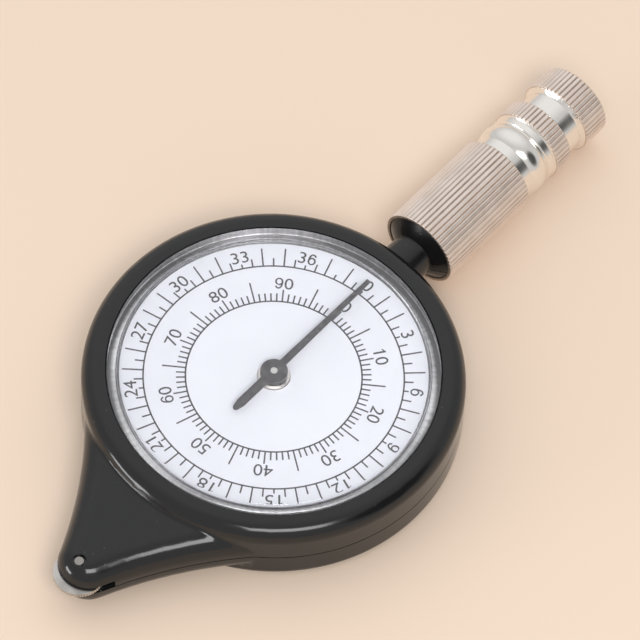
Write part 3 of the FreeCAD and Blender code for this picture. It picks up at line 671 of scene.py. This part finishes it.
class GeometryTree(Tree):
    """A geometry tree with named inputs and one geometry output."""

    def __init__(self, name: str, inputs: dict[str, Any]) -> None:
        """Makes the tree and its sockets.

        Args:
            name: The tree's name.
            inputs: Each input's default value, whose type is the input's own; None for a material.
        """
        tree = bpy.data.node_groups.new(name, "GeometryNodeTree")
        super().__init__(tree)
        tree.interface.new_socket("Geometry", in_out="INPUT", socket_type="NodeSocketGeometry")
        kinds = {int: "NodeSocketInt", float: "NodeSocketFloat"}
        for label, what in inputs.items():
            kind = kinds.get(type(what), "NodeSocketMaterial")
            socket = tree.interface.new_socket(label, in_out="INPUT", socket_type=kind)
            if what is not None:
                socket.default_value = what
        tree.interface.new_socket("Geometry", in_out="OUTPUT", socket_type="NodeSocketGeometry")
        self.inputs = self.add("NodeGroupInput").outputs
        self.result = self.add("NodeGroupOutput").inputs[0]

    def vector(self, x: Any = 0.0, y: Any = 0.0, z: Any = 0.0) -> Socket:
        """A vector of three numbers or sockets; the result's socket."""
        return self.add("ShaderNodeCombineXYZ", {0: x, 1: y, 2: z}).outputs[0]

    def choose(self, test: Socket, otherwise: Any, then: Any) -> Socket:
        """One of two numbers by a test; the result's socket."""
        return self.add("GeometryNodeSwitch", {0: test, 1: otherwise, 2: then}, input_type="FLOAT").outputs[0]

    def same(self, first: Any, second: Any) -> Socket:
        """Whether two whole numbers are the same; the result's socket."""
        values = {2: first, 3: second}
        return self.add("FunctionNodeCompare", values, data_type="INT", operation="EQUAL").outputs[0]

    def finish(self, geometry: Socket, material: Socket) -> bpy.types.NodeTree:
        """Realizes and dresses the geometry and sends it out.

        Args:
            geometry: The geometry's socket.
            material: The finish's socket.

        Returns:
            The tree.
        """
        real = self.add("GeometryNodeRealizeInstances", {0: geometry})
        dressed = self.add("GeometryNodeSetMaterial", {"Geometry": real.outputs[0], "Material": material})
        self.tree.links.new(dressed.outputs[0], self.result)
        return self.tree


def scale_tree(circle_points: int = 288) -> bpy.types.NodeTree:
    """A dial scale: a base circle and its marks, which run clockwise from +Y and stand outwards on it.

    Args:
        circle_points: How many points the base circle has.

    Returns:
        The tree, with an input for each size, in metres, and each count.
    """
    inputs = {
        "Marks": 100, "Circle": 0.011, "Line": 0.0002, "Foot": 0.008, "Ink": 2e-5, "Plain": 0.001,
        "Middle every": 5, "Middle": 0.003, "Numbered every": 10, "Numbered": 0.002,
        "Cut mark": -1, "Cut": 0.001, "Finish": None,
    }
    t = GeometryTree("dial_scale", inputs)
    i = t.inputs
    number = t.add("GeometryNodeInputIndex").outputs[0]
    length: Socket = i["Plain"]
    for every, size in (("Middle every", "Middle"), ("Numbered every", "Numbered")):
        left = t.add("FunctionNodeIntegerMath", {0: number, 1: i[every]}, operation="MODULO").outputs[0]
        length = t.choose(t.same(left, 0), length, i[size])
    length = t.choose(t.same(number, i["Cut mark"]), length, i["Cut"])
    turn = t.maths("DIVIDE", t.maths("MULTIPLY", number, -2 * math.pi), i["Marks"])
    middle = t.maths("ADD", i["Circle"], t.maths("MULTIPLY", length, 0.5))
    across = t.maths("MULTIPLY", t.maths("MULTIPLY", middle, t.maths("SINE", turn)), -1)
    place = t.vector(across, t.maths("MULTIPLY", middle, t.maths("COSINE", turn)), i["Foot"])
    points = t.add("GeometryNodePoints", {"Count": i["Marks"], "Position": place})
    sizes = t.vector(i["Line"], length, i["Ink"])
    bar = t.add("GeometryNodeMeshCube", {"Size": (1, 1, 1)})
    bars = t.add("GeometryNodeInstanceOnPoints", {
        "Points": points.outputs[0], "Instance": bar.outputs[0], "Rotation": t.vector(0.0, 0.0, turn),
        "Scale": sizes})
    ring = t.add("GeometryNodeCurvePrimitiveCircle", {"Resolution": circle_points, "Radius": i["Circle"]})
    lift = t.vector(0, 0, i["Foot"])
    raised = t.add("GeometryNodeSetPosition", {"Geometry": ring.outputs[0], "Offset": lift})
    section = t.add("GeometryNodeCurvePrimitiveQuadrilateral", {"Width": i["Line"], "Height": i["Ink"]})
    line = t.add("GeometryNodeCurveToMesh", {0: raised.outputs[0], 1: section.outputs[0]})
    both = t.add("GeometryNodeJoinGeometry")
    for part in (line, bars):
        t.tree.links.new(part.outputs[0], both.inputs[0])
    return t.finish(both.outputs[0], i["Finish"])


def knurl_tree() -> bpy.types.NodeTree:
    """A turned, knurled piece: its one-rib sector is repeated about the Y axis, welded and lifted.

    Returns:
        The tree, with the count of ribs, the axis's height, the weld's reach and the finish as inputs.
    """
    t = GeometryTree("knurled_turning", {"Ribs": 50, "Height": 0.005, "Weld": WELD, "Finish": None})
    i = t.inputs
    number = t.add("GeometryNodeInputIndex").outputs[0]
    turn = t.maths("DIVIDE", t.maths("MULTIPLY", number, 2 * math.pi), i["Ribs"])
    points = t.add("GeometryNodePoints", {"Count": i["Ribs"], "Position": t.vector(0.0, 0.0, i["Height"])})
    sectors = t.add("GeometryNodeInstanceOnPoints", {
        "Points": points.outputs[0], "Instance": i["Geometry"], "Rotation": t.vector(0.0, turn, 0.0)})
    real = t.add("GeometryNodeRealizeInstances", {0: sectors.outputs[0]})
    welded = t.add("GeometryNodeMergeByDistance", {"Geometry": real.outputs[0], "Distance": i["Weld"]})
    return t.finish(welded.outputs[0], i["Finish"])


# ---------------------------------------------------------------- sub-assemblies


@dataclass
class Case:
    """The black case: two moulded shells."""

    finish: SatinPlastic = field(default_factory=SatinPlastic)
    crease: float = 38.0

    def build(self, frame: dict[str, Any]) -> None:
        """Dresses both shells.

        Args:
            frame: What the frame's loading gave.
        """
        plastic = self.finish.make()
        for node in ("front_shell", "rear_shell"):
            skin(frame, node, node + "_skin", "case", plastic, self.crease)


@dataclass
class Scale:
    """One circular scale: its marks and its numbers. Lengths in millimetres."""

    name: str
    circle: float
    marks: int
    plain: float
    middle_every: int
    middle: float
    numbered_every: int
    numbered: float
    step: int
    digit_height: float
    digit_radius: float
    cut_mark: int = -1
    cut: float = 0.75
    line: float = 0.2
    digit_width: float = 1.12

    def numbers(self) -> list[int]:
        """The numbers round the scale, clockwise from the handle."""
        return [n * self.step for n in range(self.marks // self.numbered_every)]


@dataclass
class Figures:
    """The dial's figures: a one, a six and a nine of its own, the rest from the type.

    Lengths are in the type's own units. The six is a bowl under a hook, and the nine is the six turned.
    """

    thickness: float = 0.02
    step: float = 0.5
    height: float = 0.682
    roundness: int = 6
    arc_step: float = 15.0
    one: tuple[Pair, ...] = ((0.300, 0.0), (0.300, 0.682), (0.225, 0.682), (0.170, 0.610), (0.080, 0.555),
                             (0.080, 0.480), (0.202, 0.550), (0.202, 0.0))
    hook: Pair = (0.265, 0.345)
    hook_outside: Pair = (0.215, 0.346)
    hook_inside: Pair = (0.125, 0.262)
    hook_end: float = 35.0
    hook_meets_bowl: float = 160.0
    bowl: Pair = (0.25, 0.226)
    bowl_outside: Pair = (0.21, 0.235)
    bowl_inside: Pair = (0.12, 0.155)
    bowl_meets_hook: float = 481.0

    def arc(self, centre: Pair, radii: Pair, start: float, end: float) -> list[Pair]:
        """Sets out points along an ellipse.

        Args:
            centre: Its middle.
            radii: Its half width and half height.
            start: The angle of the first point, in degrees.
            end: The angle of the last.

        Returns:
            The points, both ends with them.
        """
        count = max(2, round(abs(end - start) / self.arc_step))
        turns = [math.radians(start + (end - start) * n / count) for n in range(count + 1)]
        return [(centre[0] + radii[0] * math.cos(t), centre[1] + radii[1] * math.sin(t)) for t in turns]

    def outlines(self, sign: str) -> list[list[Pair]]:
        """Draws the figures that the type's own don't serve for.

        Args:
            sign: The figure.

        Returns:
            Its closed outlines, none where the type's figure serves.
        """
        if sign == "1":
            return [list(self.one)]
        if sign not in "69":
            return []
        outer = [*self.arc(self.hook, self.hook_outside, self.hook_end, 180.0),
                 *self.arc(self.bowl, self.bowl_outside, 180.0, self.bowl_meets_hook),
                 *self.arc(self.hook, self.hook_inside, self.hook_meets_bowl, self.hook_end)]
        six = [outer, self.arc(self.bowl, self.bowl_inside, 0.0, 360.0 - self.arc_step)]
        if sign == "6":
            return six
        return [[(self.step - x, self.height - y) for x, y in line] for line in six]

    def figure(self, sign: str) -> bpy.types.Mesh:
        """Makes one figure.

        Args:
            sign: The figure.

        Returns:
            Its mesh.
        """
        outlines = self.outlines(sign)
        if outlines:
            shape = bpy.data.curves.new("figure", "CURVE")
            shape.dimensions = "2D"
        else:
            shape = bpy.data.curves.new("figure", "FONT")
            shape.body = sign
            shape.resolution_u = self.roundness
        for spots in outlines:
            outline = shape.splines.new("POLY")
            outline.points.add(len(spots) - 1)
            for point, spot in zip(outline.points, spots):
                point.co = (*spot, 0.0, 1.0)
            outline.use_cyclic_u = True
        shape.fill_mode = "BOTH"
        shape.extrude = self.thickness / 2
        drawn = object_of("figure", shape)
        mesh = evaluated_mesh(drawn, "figure")
        bpy.data.objects.remove(drawn)
        return mesh

    def number(self, words: str) -> tuple[bpy.types.Mesh, Vector, Vector]:
        """Sets a number, figure by figure.

        Args:
            words: The number.

        Returns:
            Its mesh and its lowest and highest corners.
        """
        line = bmesh.new()
        for place, sign in enumerate(words):
            mesh = self.figure(sign)
            mesh.transform(Matrix.Translation((place * self.step, 0.0, 0.0)))
            line.from_mesh(mesh)
            bpy.data.meshes.remove(mesh)
        mesh = bpy.data.meshes.new("number")
        line.to_mesh(mesh)
        line.free()
        spots = np.array([v.co for v in mesh.vertices])
        return mesh, Vector(spots.min(0).tolist()), Vector(spots.max(0).tolist())


@dataclass
class Dial:
    """The white dial with its print and the collar in its middle. Lengths in millimetres."""

    top: float = 7.9
    ink: float = 0.02
    weld: float = 0.001
    figures: Figures = field(default_factory=Figures)
    white: Paint = Paint("dial_white", (0.79, 0.79, 0.855), (0.77, 0.77, 0.835))
    print_ink: Paint = Paint("dial_ink", (0.040, 0.037, 0.042), (0.065, 0.060, 0.068), 0.5, 900.0)
    collar: Metal = Metal("collar_nickel", (0.92, 0.87, 0.83), (0.80, 0.75, 0.71), 0.2, 0.34)
    scales: tuple[Scale, ...] = (
        Scale("outer_scale", 16.5, 78, 1.19, 2, 2.7, 6, 0.65, 3, 1.7, 18.2, 75),
        Scale("inner_scale", 11.16, 100, 1.2, 5, 3.03, 10, 1.8, 10, 1.66, 13.9),
    )

    def numbers(self, scale: Scale) -> bpy.types.Mesh:
        """Prints all of a scale's numbers, each with its top outwards.

        Args:
            scale: The scale.

        Returns:
            Them all as one mesh, in place.
        """
        whole = bmesh.new()
        count = len(scale.numbers())
        _, low, high = self.figures.number("0")
        grow = (scale.digit_width / (high.x - low.x), scale.digit_height / (high.y - low.y), 1.0)
        for place, number in enumerate(scale.numbers()):
            mesh, low, high = self.figures.number(str(number))
            centre = (low + high) / 2
            turn = -2 * math.pi * place / count
            out = Vector((-math.sin(turn), math.cos(turn), 0)) * scale.digit_radius
            moves = (Matrix.Translation((out + Vector((0, 0, self.top + self.ink / 2))) * MM)
                     @ Matrix.Rotation(turn, 4, "Z") @ Matrix.Diagonal((*[g * MM for g in grow], 1.0))
                     @ Matrix.Translation(-centre))
            mesh.transform(moves)
            whole.from_mesh(mesh)
            bpy.data.meshes.remove(mesh)
        bmesh.ops.remove_doubles(whole, verts=whole.verts, dist=self.weld * MM)
        bmesh.ops.recalc_face_normals(whole, faces=whole.faces)
        made = bpy.data.meshes.new(scale.name + "_numbers")
        whole.to_mesh(made)
        whole.free()
        return made

    def marks(self, scale: Scale, tree: bpy.types.NodeTree, ink: bpy.types.Material) -> Object:
        """Prints a scale's circle and marks.

        Args:
            scale: The scale.
            tree: The tree that sets them out.
            ink: Their finish.

        Returns:
            The circle and the marks as one object.
        """
        inputs = {
            "Marks": scale.marks, "Circle": scale.circle * MM, "Line": scale.line * MM,
            "Foot": (self.top + self.ink / 2) * MM, "Ink": self.ink * MM, "Plain": scale.plain * MM,
            "Middle every": scale.middle_every, "Middle": scale.middle * MM,
            "Numbered every": scale.numbered_every, "Numbered": scale.numbered * MM,
            "Cut mark": scale.cut_mark, "Cut": scale.cut * MM, "Finish": ink,
        }
        return run_tree(tree, scale.name + "_marks", inputs)

    def build(self, frame: dict[str, Any]) -> None:
        """Dresses the disc and the collar and prints both scales.

        Args:
            frame: What the frame's loading gave.
        """
        skin(frame, "dial", "dial_face", "case", self.white.make())
        skin(frame, "upper_bush", "dial_collar", "case", self.collar.make())
        ink, tree = self.print_ink.make(), scale_tree()
        for scale in self.scales:
            printed = (self.marks(scale, tree, ink),
                       dress(object_of(scale.name + "_numbers", self.numbers(scale)), ink))
            for piece in printed:
                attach(piece, "case")
                LOG.info("%s: %d faces", piece.name, len(piece.data.polygons))


@dataclass
class Lens:
    """The clear cup over the dial, with a painted silvery reflection and painted shade on its foot, outer
    wall and bevel.

    Lengths are in metres. The foot is lifted off the ledge that it stands on, so that neither hides
    the other; a face past the wall's start that leans more than the tilt is wall or bevel.
    """

    finish: ClearAcrylic = field(default_factory=ClearAcrylic)
    # The edge's painted silvery reflection and painted shade.
    edge: Silvered = field(default_factory=lambda: Silvered("lens_edge_painted_reflection"))
    near: float = 1e-5
    lift: float = 2e-5
    bevel_tilt: float = 0.9
    wall_from: float = 0.0206

    def build(self, frame: dict[str, Any]) -> None:
        """Dresses the cup.

        Args:
            frame: What the frame's loading gave.
        """
        cup = dress(smooth_copy(frame, "lens", "lens_clear"), self.finish.make())
        cup.data.materials.append(self.edge.make())
        heights = [v.co.z for v in cup.data.vertices]
        foot = min(heights) + self.near
        # The foot, the outer wall and the bevel take the painted reflection instead of clear plastic.
        for face in cup.data.polygons:
            on_foot = all(heights[v] < foot for v in face.vertices)
            outer = face.center.xy.length > self.wall_from and abs(face.normal.z) < self.bevel_tilt
            face.material_index = int(on_foot or outer)
        for spot in cup.data.vertices:
            spot.co.z += self.lift if heights[spot.index] < foot else 0.0
        stand_in(cup, "lens", "case")


@dataclass
class Pointer:
    """The painted pointer on its steel arbor."""

    paint: Paint = Paint("pointer_paint", (0.055, 0.051, 0.056), (0.13, 0.12, 0.125), 0.36, 1500.0,
                         tooth=5.0e-6, metallic=0.5)
    steel: Metal = Metal("arbor_steel", (0.78, 0.77, 0.75), (0.6, 0.59, 0.57), 0.2, 0.32)

    def build(self, frame: dict[str, Any]) -> None:
        """Dresses the blade and the arbor."""
        skin(frame, "pointer", "pointer_blade", "pointer", self.paint.make())
        skin(frame, "pointer_arbor", "pointer_shaft", "pointer", self.steel.make())


@dataclass
class TracingWheel:
    """The toothed steel wheel in the snout and its pin. The centre is in metres."""

    centre: Pair = (0.0, -0.03624)
    face: tuple[Colour, Colour] = ((0.60, 0.57, 0.54), (0.44, 0.41, 0.38))
    pin: tuple[Colour, Colour] = ((0.36, 0.34, 0.32), (0.20, 0.19, 0.18))

    def build(self, frame: dict[str, Any]) -> None:
        """Dresses the wheel and the pin.

        Args:
            frame: What the frame's loading gave.
        """
        face = Metal("wheel_steel", *self.face, 0.22, 0.36, self.centre, 7000.0, 2.5e-6)
        skin(frame, "tracing_wheel", "tracing_wheel_steel", "tracing_wheel", face.make())
        end = Metal("pin_steel", *self.pin, 0.3, 0.45, self.centre)
        skin(frame, "wheel_pin", "wheel_pin_steel", "case", end.make())


@dataclass(frozen=True)
class Station:
    """One ring of a turned profile: its place along the handle and its radius, in millimetres.

    The knurl cuts a ribbed ring and leaves any other round.
    """

    place: float
    radius: float
    ribbed: bool = False


class KnurlEdge(Enum):
    """How the knurl's grooves meet the edge of a knurled stretch."""

    RUN_OUT = "they run out on its broken edge"
    CUT_THROUGH = "they cut through it"


@dataclass
class Handle:
    """The nickel-plated handle: a knurled sleeve and a turned end piece.

    Lengths are in millimetres. The bead has its start, its end, its radius there and its bow; collar,
    ring and cap have their start, end and radius. A groove takes up its share of a rib's width on
    either side of its middle, and its walls follow a power.
    """

    height: float = 5.43
    ribs: int = 50
    rib_depth: float = 0.15
    groove_share: float = 0.25
    groove_power: float = 1.3
    steps: int = 12
    crease: float = 24.0
    crumb: float = 1e-4
    sleeve_radius: float = 5.43
    bore: float = 4.98
    chamfer: float = 0.15
    lip: float = 0.07
    runout: float = 0.02
    sleeve: Pair = (28.4, 44.1)
    plug: float = 1.0
    bead: tuple[float, float, float, float] = (45.8, 48.5, 4.79, 2.45)
    bead_steps: int = 14
    collar: tuple[float, float, float] = (48.8, 49.85, 5.0)
    ring: tuple[float, float, float] = (50.0, 52.9, 5.3)
    cap: tuple[float, float, float] = (56.0, 60.1, 5.3)
    cap_bevel: float = 0.48
    waist: float = 4.85
    groove: float = 4.75
    recess: float = 4.5
    recess_end: float = 55.7
    foot: float = 0.12

    def knurled(self, start: float, end: float, radius: float,
                edge: KnurlEdge = KnurlEdge.RUN_OUT) -> list[Station]:
        """Sets out a knurled stretch, whose grooves run out at its end.

        Args:
            start: Where it starts along the handle.
            end: Where it ends.
            radius: Its outside.
            edge: What the grooves do at its start.

        Returns:
            Its rings.
        """
        low = radius - self.rib_depth - self.runout
        first = [Station(start, low), Station(start + self.chamfer, radius, True)]
        if edge is KnurlEdge.CUT_THROUGH:
            first = [Station(start, radius - self.lip, True), Station(start + self.lip, radius, True)]
        return [*first, Station(end - self.chamfer, radius, True), Station(end, low)]

    def bead_rings(self) -> list[Station]:
        """Sets out the bead's bowed outline.

        Returns:
            Its rings.
        """
        start, end, edge, bow = self.bead
        half = (end - start) / 2
        centre = edge - math.sqrt(bow ** 2 - half ** 2)
        reach = math.asin(half / bow)
        angles = [reach * (2 * n / self.bead_steps - 1) for n in range(self.bead_steps + 1)]
        return [Station((start + end) / 2 + bow * math.sin(a), centre + bow * math.cos(a)) for a in angles]

    def sleeve_profile(self) -> list[Station]:
        """Sets out the sleeve, from the bore's end through the bore and back round the outside.

        Returns:
            Its rings.
        """
        start, end = self.sleeve
        outside = self.knurled(start, end, self.sleeve_radius, KnurlEdge.CUT_THROUGH)
        return [Station(end, self.bore), Station(start, self.bore), *outside, Station(end, self.bore)]

    def end_profile(self) -> list[Station]:
        """Sets out the end piece, from its plug in the sleeve's mouth to the cap's middle.

        Returns:
            Its rings.
        """
        collar_start, collar_end, collar = self.collar
        ring_start, ring_end, ring = self.ring
        cap_start, cap_end, cap = self.cap
        plug, foot = self.sleeve[1] - self.plug, self.foot
        return [
            Station(plug, 0.0), Station(plug, self.waist), Station(self.bead[0] - foot, self.waist),
            *self.bead_rings(), Station(self.bead[1] + foot / 2, self.groove),
            Station(collar_start - foot / 2, self.groove), Station(collar_start, collar - foot),
            Station(collar_start + foot, collar), Station(collar_end - foot, collar),
            Station(collar_end, collar - foot / 2), *self.knurled(ring_start, ring_end, ring),
            Station(ring_end, self.recess + foot), Station(ring_end + foot, self.recess),
            Station(self.recess_end - foot, self.recess), Station(self.recess_end, self.recess + foot),
            *self.knurled(cap_start, cap_end, cap), Station(cap_end, cap - self.cap_bevel),
            Station(cap_end, 0.0),
        ]

    def sector(self, name: str, profile: list[Station]) -> bpy.types.Mesh:
        """One rib's share of a turned piece, from the middle of one land to the next.

        Args:
            name: The mesh's name.
            profile: Its rings.

        Returns:
            The open strip, in metres, about the handle's axis.
        """
        pitch = 2 * math.pi / self.ribs
        shares = [n / self.steps - 0.5 for n in range(self.steps + 1)]
        spots = []
        for ring in profile:
            for share in shares:
                cut = max(0.0, 1.0 - abs(share) / self.groove_share) if ring.ribbed else 0.0
                radius = ring.radius - self.rib_depth * cut ** self.groove_power
                angle = share * pitch
                spots.append((radius * math.sin(angle) * MM, ring.place * MM, radius * math.cos(angle) * MM))
        across = self.steps + 1
        faces = [(row * across + n, row * across + n + 1, (row + 1) * across + n + 1, (row + 1) * across + n)
                 for row in range(len(profile) - 1) for n in range(self.steps)]
        mesh = bpy.data.meshes.new(name)
        mesh.from_pydata(spots, [], faces)
        return mesh

    def turned(self, name: str, profile: list[Station], tree: bpy.types.NodeTree,
               nickel: bpy.types.Material) -> Object:
        """Makes a turned piece with its knurl, closed and creased.

        Args:
            name: Its name.
            profile: Its rings.
            tree: The tree that repeats one rib's share.
            nickel: Its finish.

        Returns:
            The piece.
        """
        inputs = {"Ribs": self.ribs, "Height": self.height * MM, "Weld": WELD, "Finish": nickel}
        piece = run_tree(tree, name, inputs, self.sector(name + "_sector", profile))
        shape = bmesh.new()
        shape.from_mesh(piece.data)
        bmesh.ops.dissolve_degenerate(shape, dist=self.crumb * MM, edges=shape.edges)
        bmesh.ops.recalc_face_normals(shape, faces=shape.faces)
        crease_edges(shape, self.crease)
        shape.to_mesh(piece.data)
        shape.free()
        return dress(piece, nickel)

    def build(self, frame: dict[str, Any]) -> None:
        """Makes and dresses both pieces.

        Args:
            frame: What the frame's loading gave; neither piece needs it.
        """
        tree = knurl_tree()
        sleeve_nickel = Nickel("sleeve_nickel", self.height, self.sleeve_radius, self.rib_depth)
        sleeve = self.turned("handle_sleeve", self.sleeve_profile(), tree, sleeve_nickel.make())
        stand_in(sleeve, "handle_barrel", "case")
        bands = (self.ring[:2], self.cap[:2])
        end_nickel = Nickel("end_nickel", self.height, self.ring[2], self.rib_depth, bands)
        end = self.turned("handle_end_piece", self.end_profile(), tree, end_nickel.make())
        stand_in(end, "handle_end", "case")


@dataclass
class Movement:
    """The hidden gear train: brass wheels on steel pins under a brass bridge. Centres in metres."""

    centres: dict[str, Pair] = field(default_factory=lambda: {
        "wheel_pinion": (0.0, -0.03624), "idler_gear": (0.0, -0.03154),
        "first_gear": (0.0, -0.02484), "first_pinion": (0.0, -0.02484),
        "second_gear": (0.0014, -0.01242), "second_pinion": (0.0014, -0.01242),
        "centre_gear": (0.0, 0.0), "bridge_plate": (0.0, 0.0)})
    steel_nodes: tuple[str, ...] = ("idler_pin", "first_pin", "second_pin", "bridge_screws")
    brass: tuple[Colour, Colour] = ((0.78, 0.60, 0.28), (0.66, 0.47, 0.20))
    steel: Metal = Metal("screw_steel", (0.70, 0.69, 0.67), (0.55, 0.54, 0.52), 0.24, 0.4)

    def build(self, frame: dict[str, Any]) -> None:
        """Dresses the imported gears, pins, plate and screws in place.

        Args:
            frame: What the frame's loading gave.
        """
        for node, centre in self.centres.items():
            brass = Metal(node + "_brass", *self.brass, 0.2, 0.34, centre, 5000.0)
            dress(frame["nodes"][node], brass.make())
        plain = self.steel.make()
        for node in self.steel_nodes:
            dress(frame["nodes"][node], plain)
        LOG.info("movement: %d pieces", len(self.centres) + len(self.steel_nodes))


# ---------------------------------------------------------------- studio


@dataclass
class Lamp:
    """One soft lamp: where it stands, what it looks at, its size and its power."""

    name: str
    place: tuple[float, float, float]
    size: Pair
    power: float
    colour: Colour = (1.0, 1.0, 1.0)
    target: tuple[float, float, float] = (0.0, 0.01, 0.005)

    def build(self) -> None:
        """Adds the lamp."""
        light = bpy.data.lights.new(self.name, "AREA")
        light.shape = "RECTANGLE"
        light.size, light.size_y = self.size
        light.energy = self.power
        light.color = self.colour
        lamp = bpy.data.objects.new(self.name, light)
        lamp.location = self.place
        lamp.rotation_euler = (Vector(self.target) - Vector(self.place)).to_track_quat("-Z", "Y").to_euler()
        bpy.context.scene.collection.objects.link(lamp)


@dataclass(frozen=True)
class SkyPatch:
    """A round patch of the sky that is brighter or darker than the rest. Angles in degrees."""

    towards: tuple[float, float, float]
    core: float
    reach: float
    light_more: float

    def light(self, t: Tree, direction: Socket) -> Socket:
        """Works out how much the patch adds to the sky's strength.

        Args:
            t: The sky's tree.
            direction: Where the sky is looked at.

        Returns:
            The strength's socket.
        """
        towards = Vector(self.towards).normalized()
        aim = t.add("ShaderNodeVectorMath", {0: direction, 1: towards}, operation="DOT_PRODUCT")
        inner, outer = (math.cos(math.radians(angle)) for angle in (self.core, self.reach))
        return t.spread(aim.outputs["Value"], 0.0, self.light_more, outer, inner)


@dataclass
class Studio:
    """A pale floor, soft lamps and the camera. Places in metres, the camera's turn in degrees."""

    floor_colour: Colour = (0.96, 0.765, 0.605)
    floor_shade: float = 0.96
    floor_clouds: float = 3.0
    floor_rough: float = 0.7
    floor_half: float = 1.6
    sky: Colour = (0.98, 0.99, 1.0)
    sky_strength: float = 0.64
    patches: tuple[SkyPatch, ...] = (
        SkyPatch((0.80, 0.22, 0.50), 16.0, 27.0, -0.56),
        SkyPatch((-0.45, 0.40, 0.80), 18.0, 50.0, 0.26),
    )
    eye: tuple[float, float, float] = (0.2076905, -0.2566585, 0.5464594)
    look: tuple[float, float, float] = (32.139294, -1.970221, 41.180861)
    lens: float = 281.25
    clip: Pair = (0.01, 20.0)
    lamps: tuple[Lamp, ...] = (
        Lamp("key", (0.41, -0.33, 0.72), (0.46, 0.26), 2.8),
        Lamp("left", (-0.45, -0.77, 0.135), (0.38, 0.16), 1.6),
    )

    def floor(self) -> None:
        """Adds the plain floor."""
        s = Shader("floor_paint")
        shade = tuple(part * self.floor_shade for part in self.floor_colour)
        tint = s.blend(s.spread(s.noise(self.floor_clouds), 0.0, 0.25), self.floor_colour, shade)
        s.principled(Base_Color=tint, Roughness=self.floor_rough)
        h = self.floor_half
        mesh = bpy.data.meshes.new("floor")
        mesh.from_pydata([(-h, -h, 0), (h, -h, 0), (h, h, 0), (-h, h, 0)], [], [(0, 1, 2, 3)])
        plane = object_of("floor", mesh)
        plane.data.materials.append(s.material)

    def sky_light(self) -> None:
        """Sets the even light from all round."""
        world = bpy.data.worlds.new("room")
        world.use_nodes = True
        t = Tree(world.node_tree)
        direction = t.add("ShaderNodeTexCoord").outputs["Generated"]
        strength: Any = self.sky_strength
        for patch in self.patches:
            strength = t.maths("ADD", strength, patch.light(t, direction))
        strength = t.maths("MAXIMUM", strength, 0.0)
        back = t.add("ShaderNodeBackground", {"Color": (*self.sky, 1), "Strength": strength})
        t.add("ShaderNodeOutputWorld", {"Surface": back.outputs[0]})
        bpy.context.scene.world = world

    def camera(self) -> None:
        """Adds the camera."""
        view = bpy.data.cameras.new("camera")
        view.lens = self.lens
        view.clip_start, view.clip_end = self.clip
        camera = bpy.data.objects.new("camera", view)
        camera.location = self.eye
        camera.rotation_euler = Euler([math.radians(a) for a in self.look])
        bpy.context.scene.collection.objects.link(camera)
        bpy.context.scene.camera = camera

    def build(self) -> None:
        """Sets up floor, light and camera."""
        self.floor()
        self.sky_light()
        for lamp in self.lamps:
            lamp.build()
        self.camera()
        bpy.context.scene.view_settings.view_transform = "Standard"
        LOG.info("studio: %d lamps", len(self.lamps))


def main() -> None:
    """Builds the looks round the frame."""
    logging.basicConfig(level=logging.INFO, format="%(name)s: %(message)s", stream=sys.stdout)
    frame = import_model()
    Studio().build()
    for part in (Case(), Dial(), Lens(), Pointer(), TracingWheel(), Handle(), Movement()):
        part.build(frame)


if __name__ == "__main__":
    main()
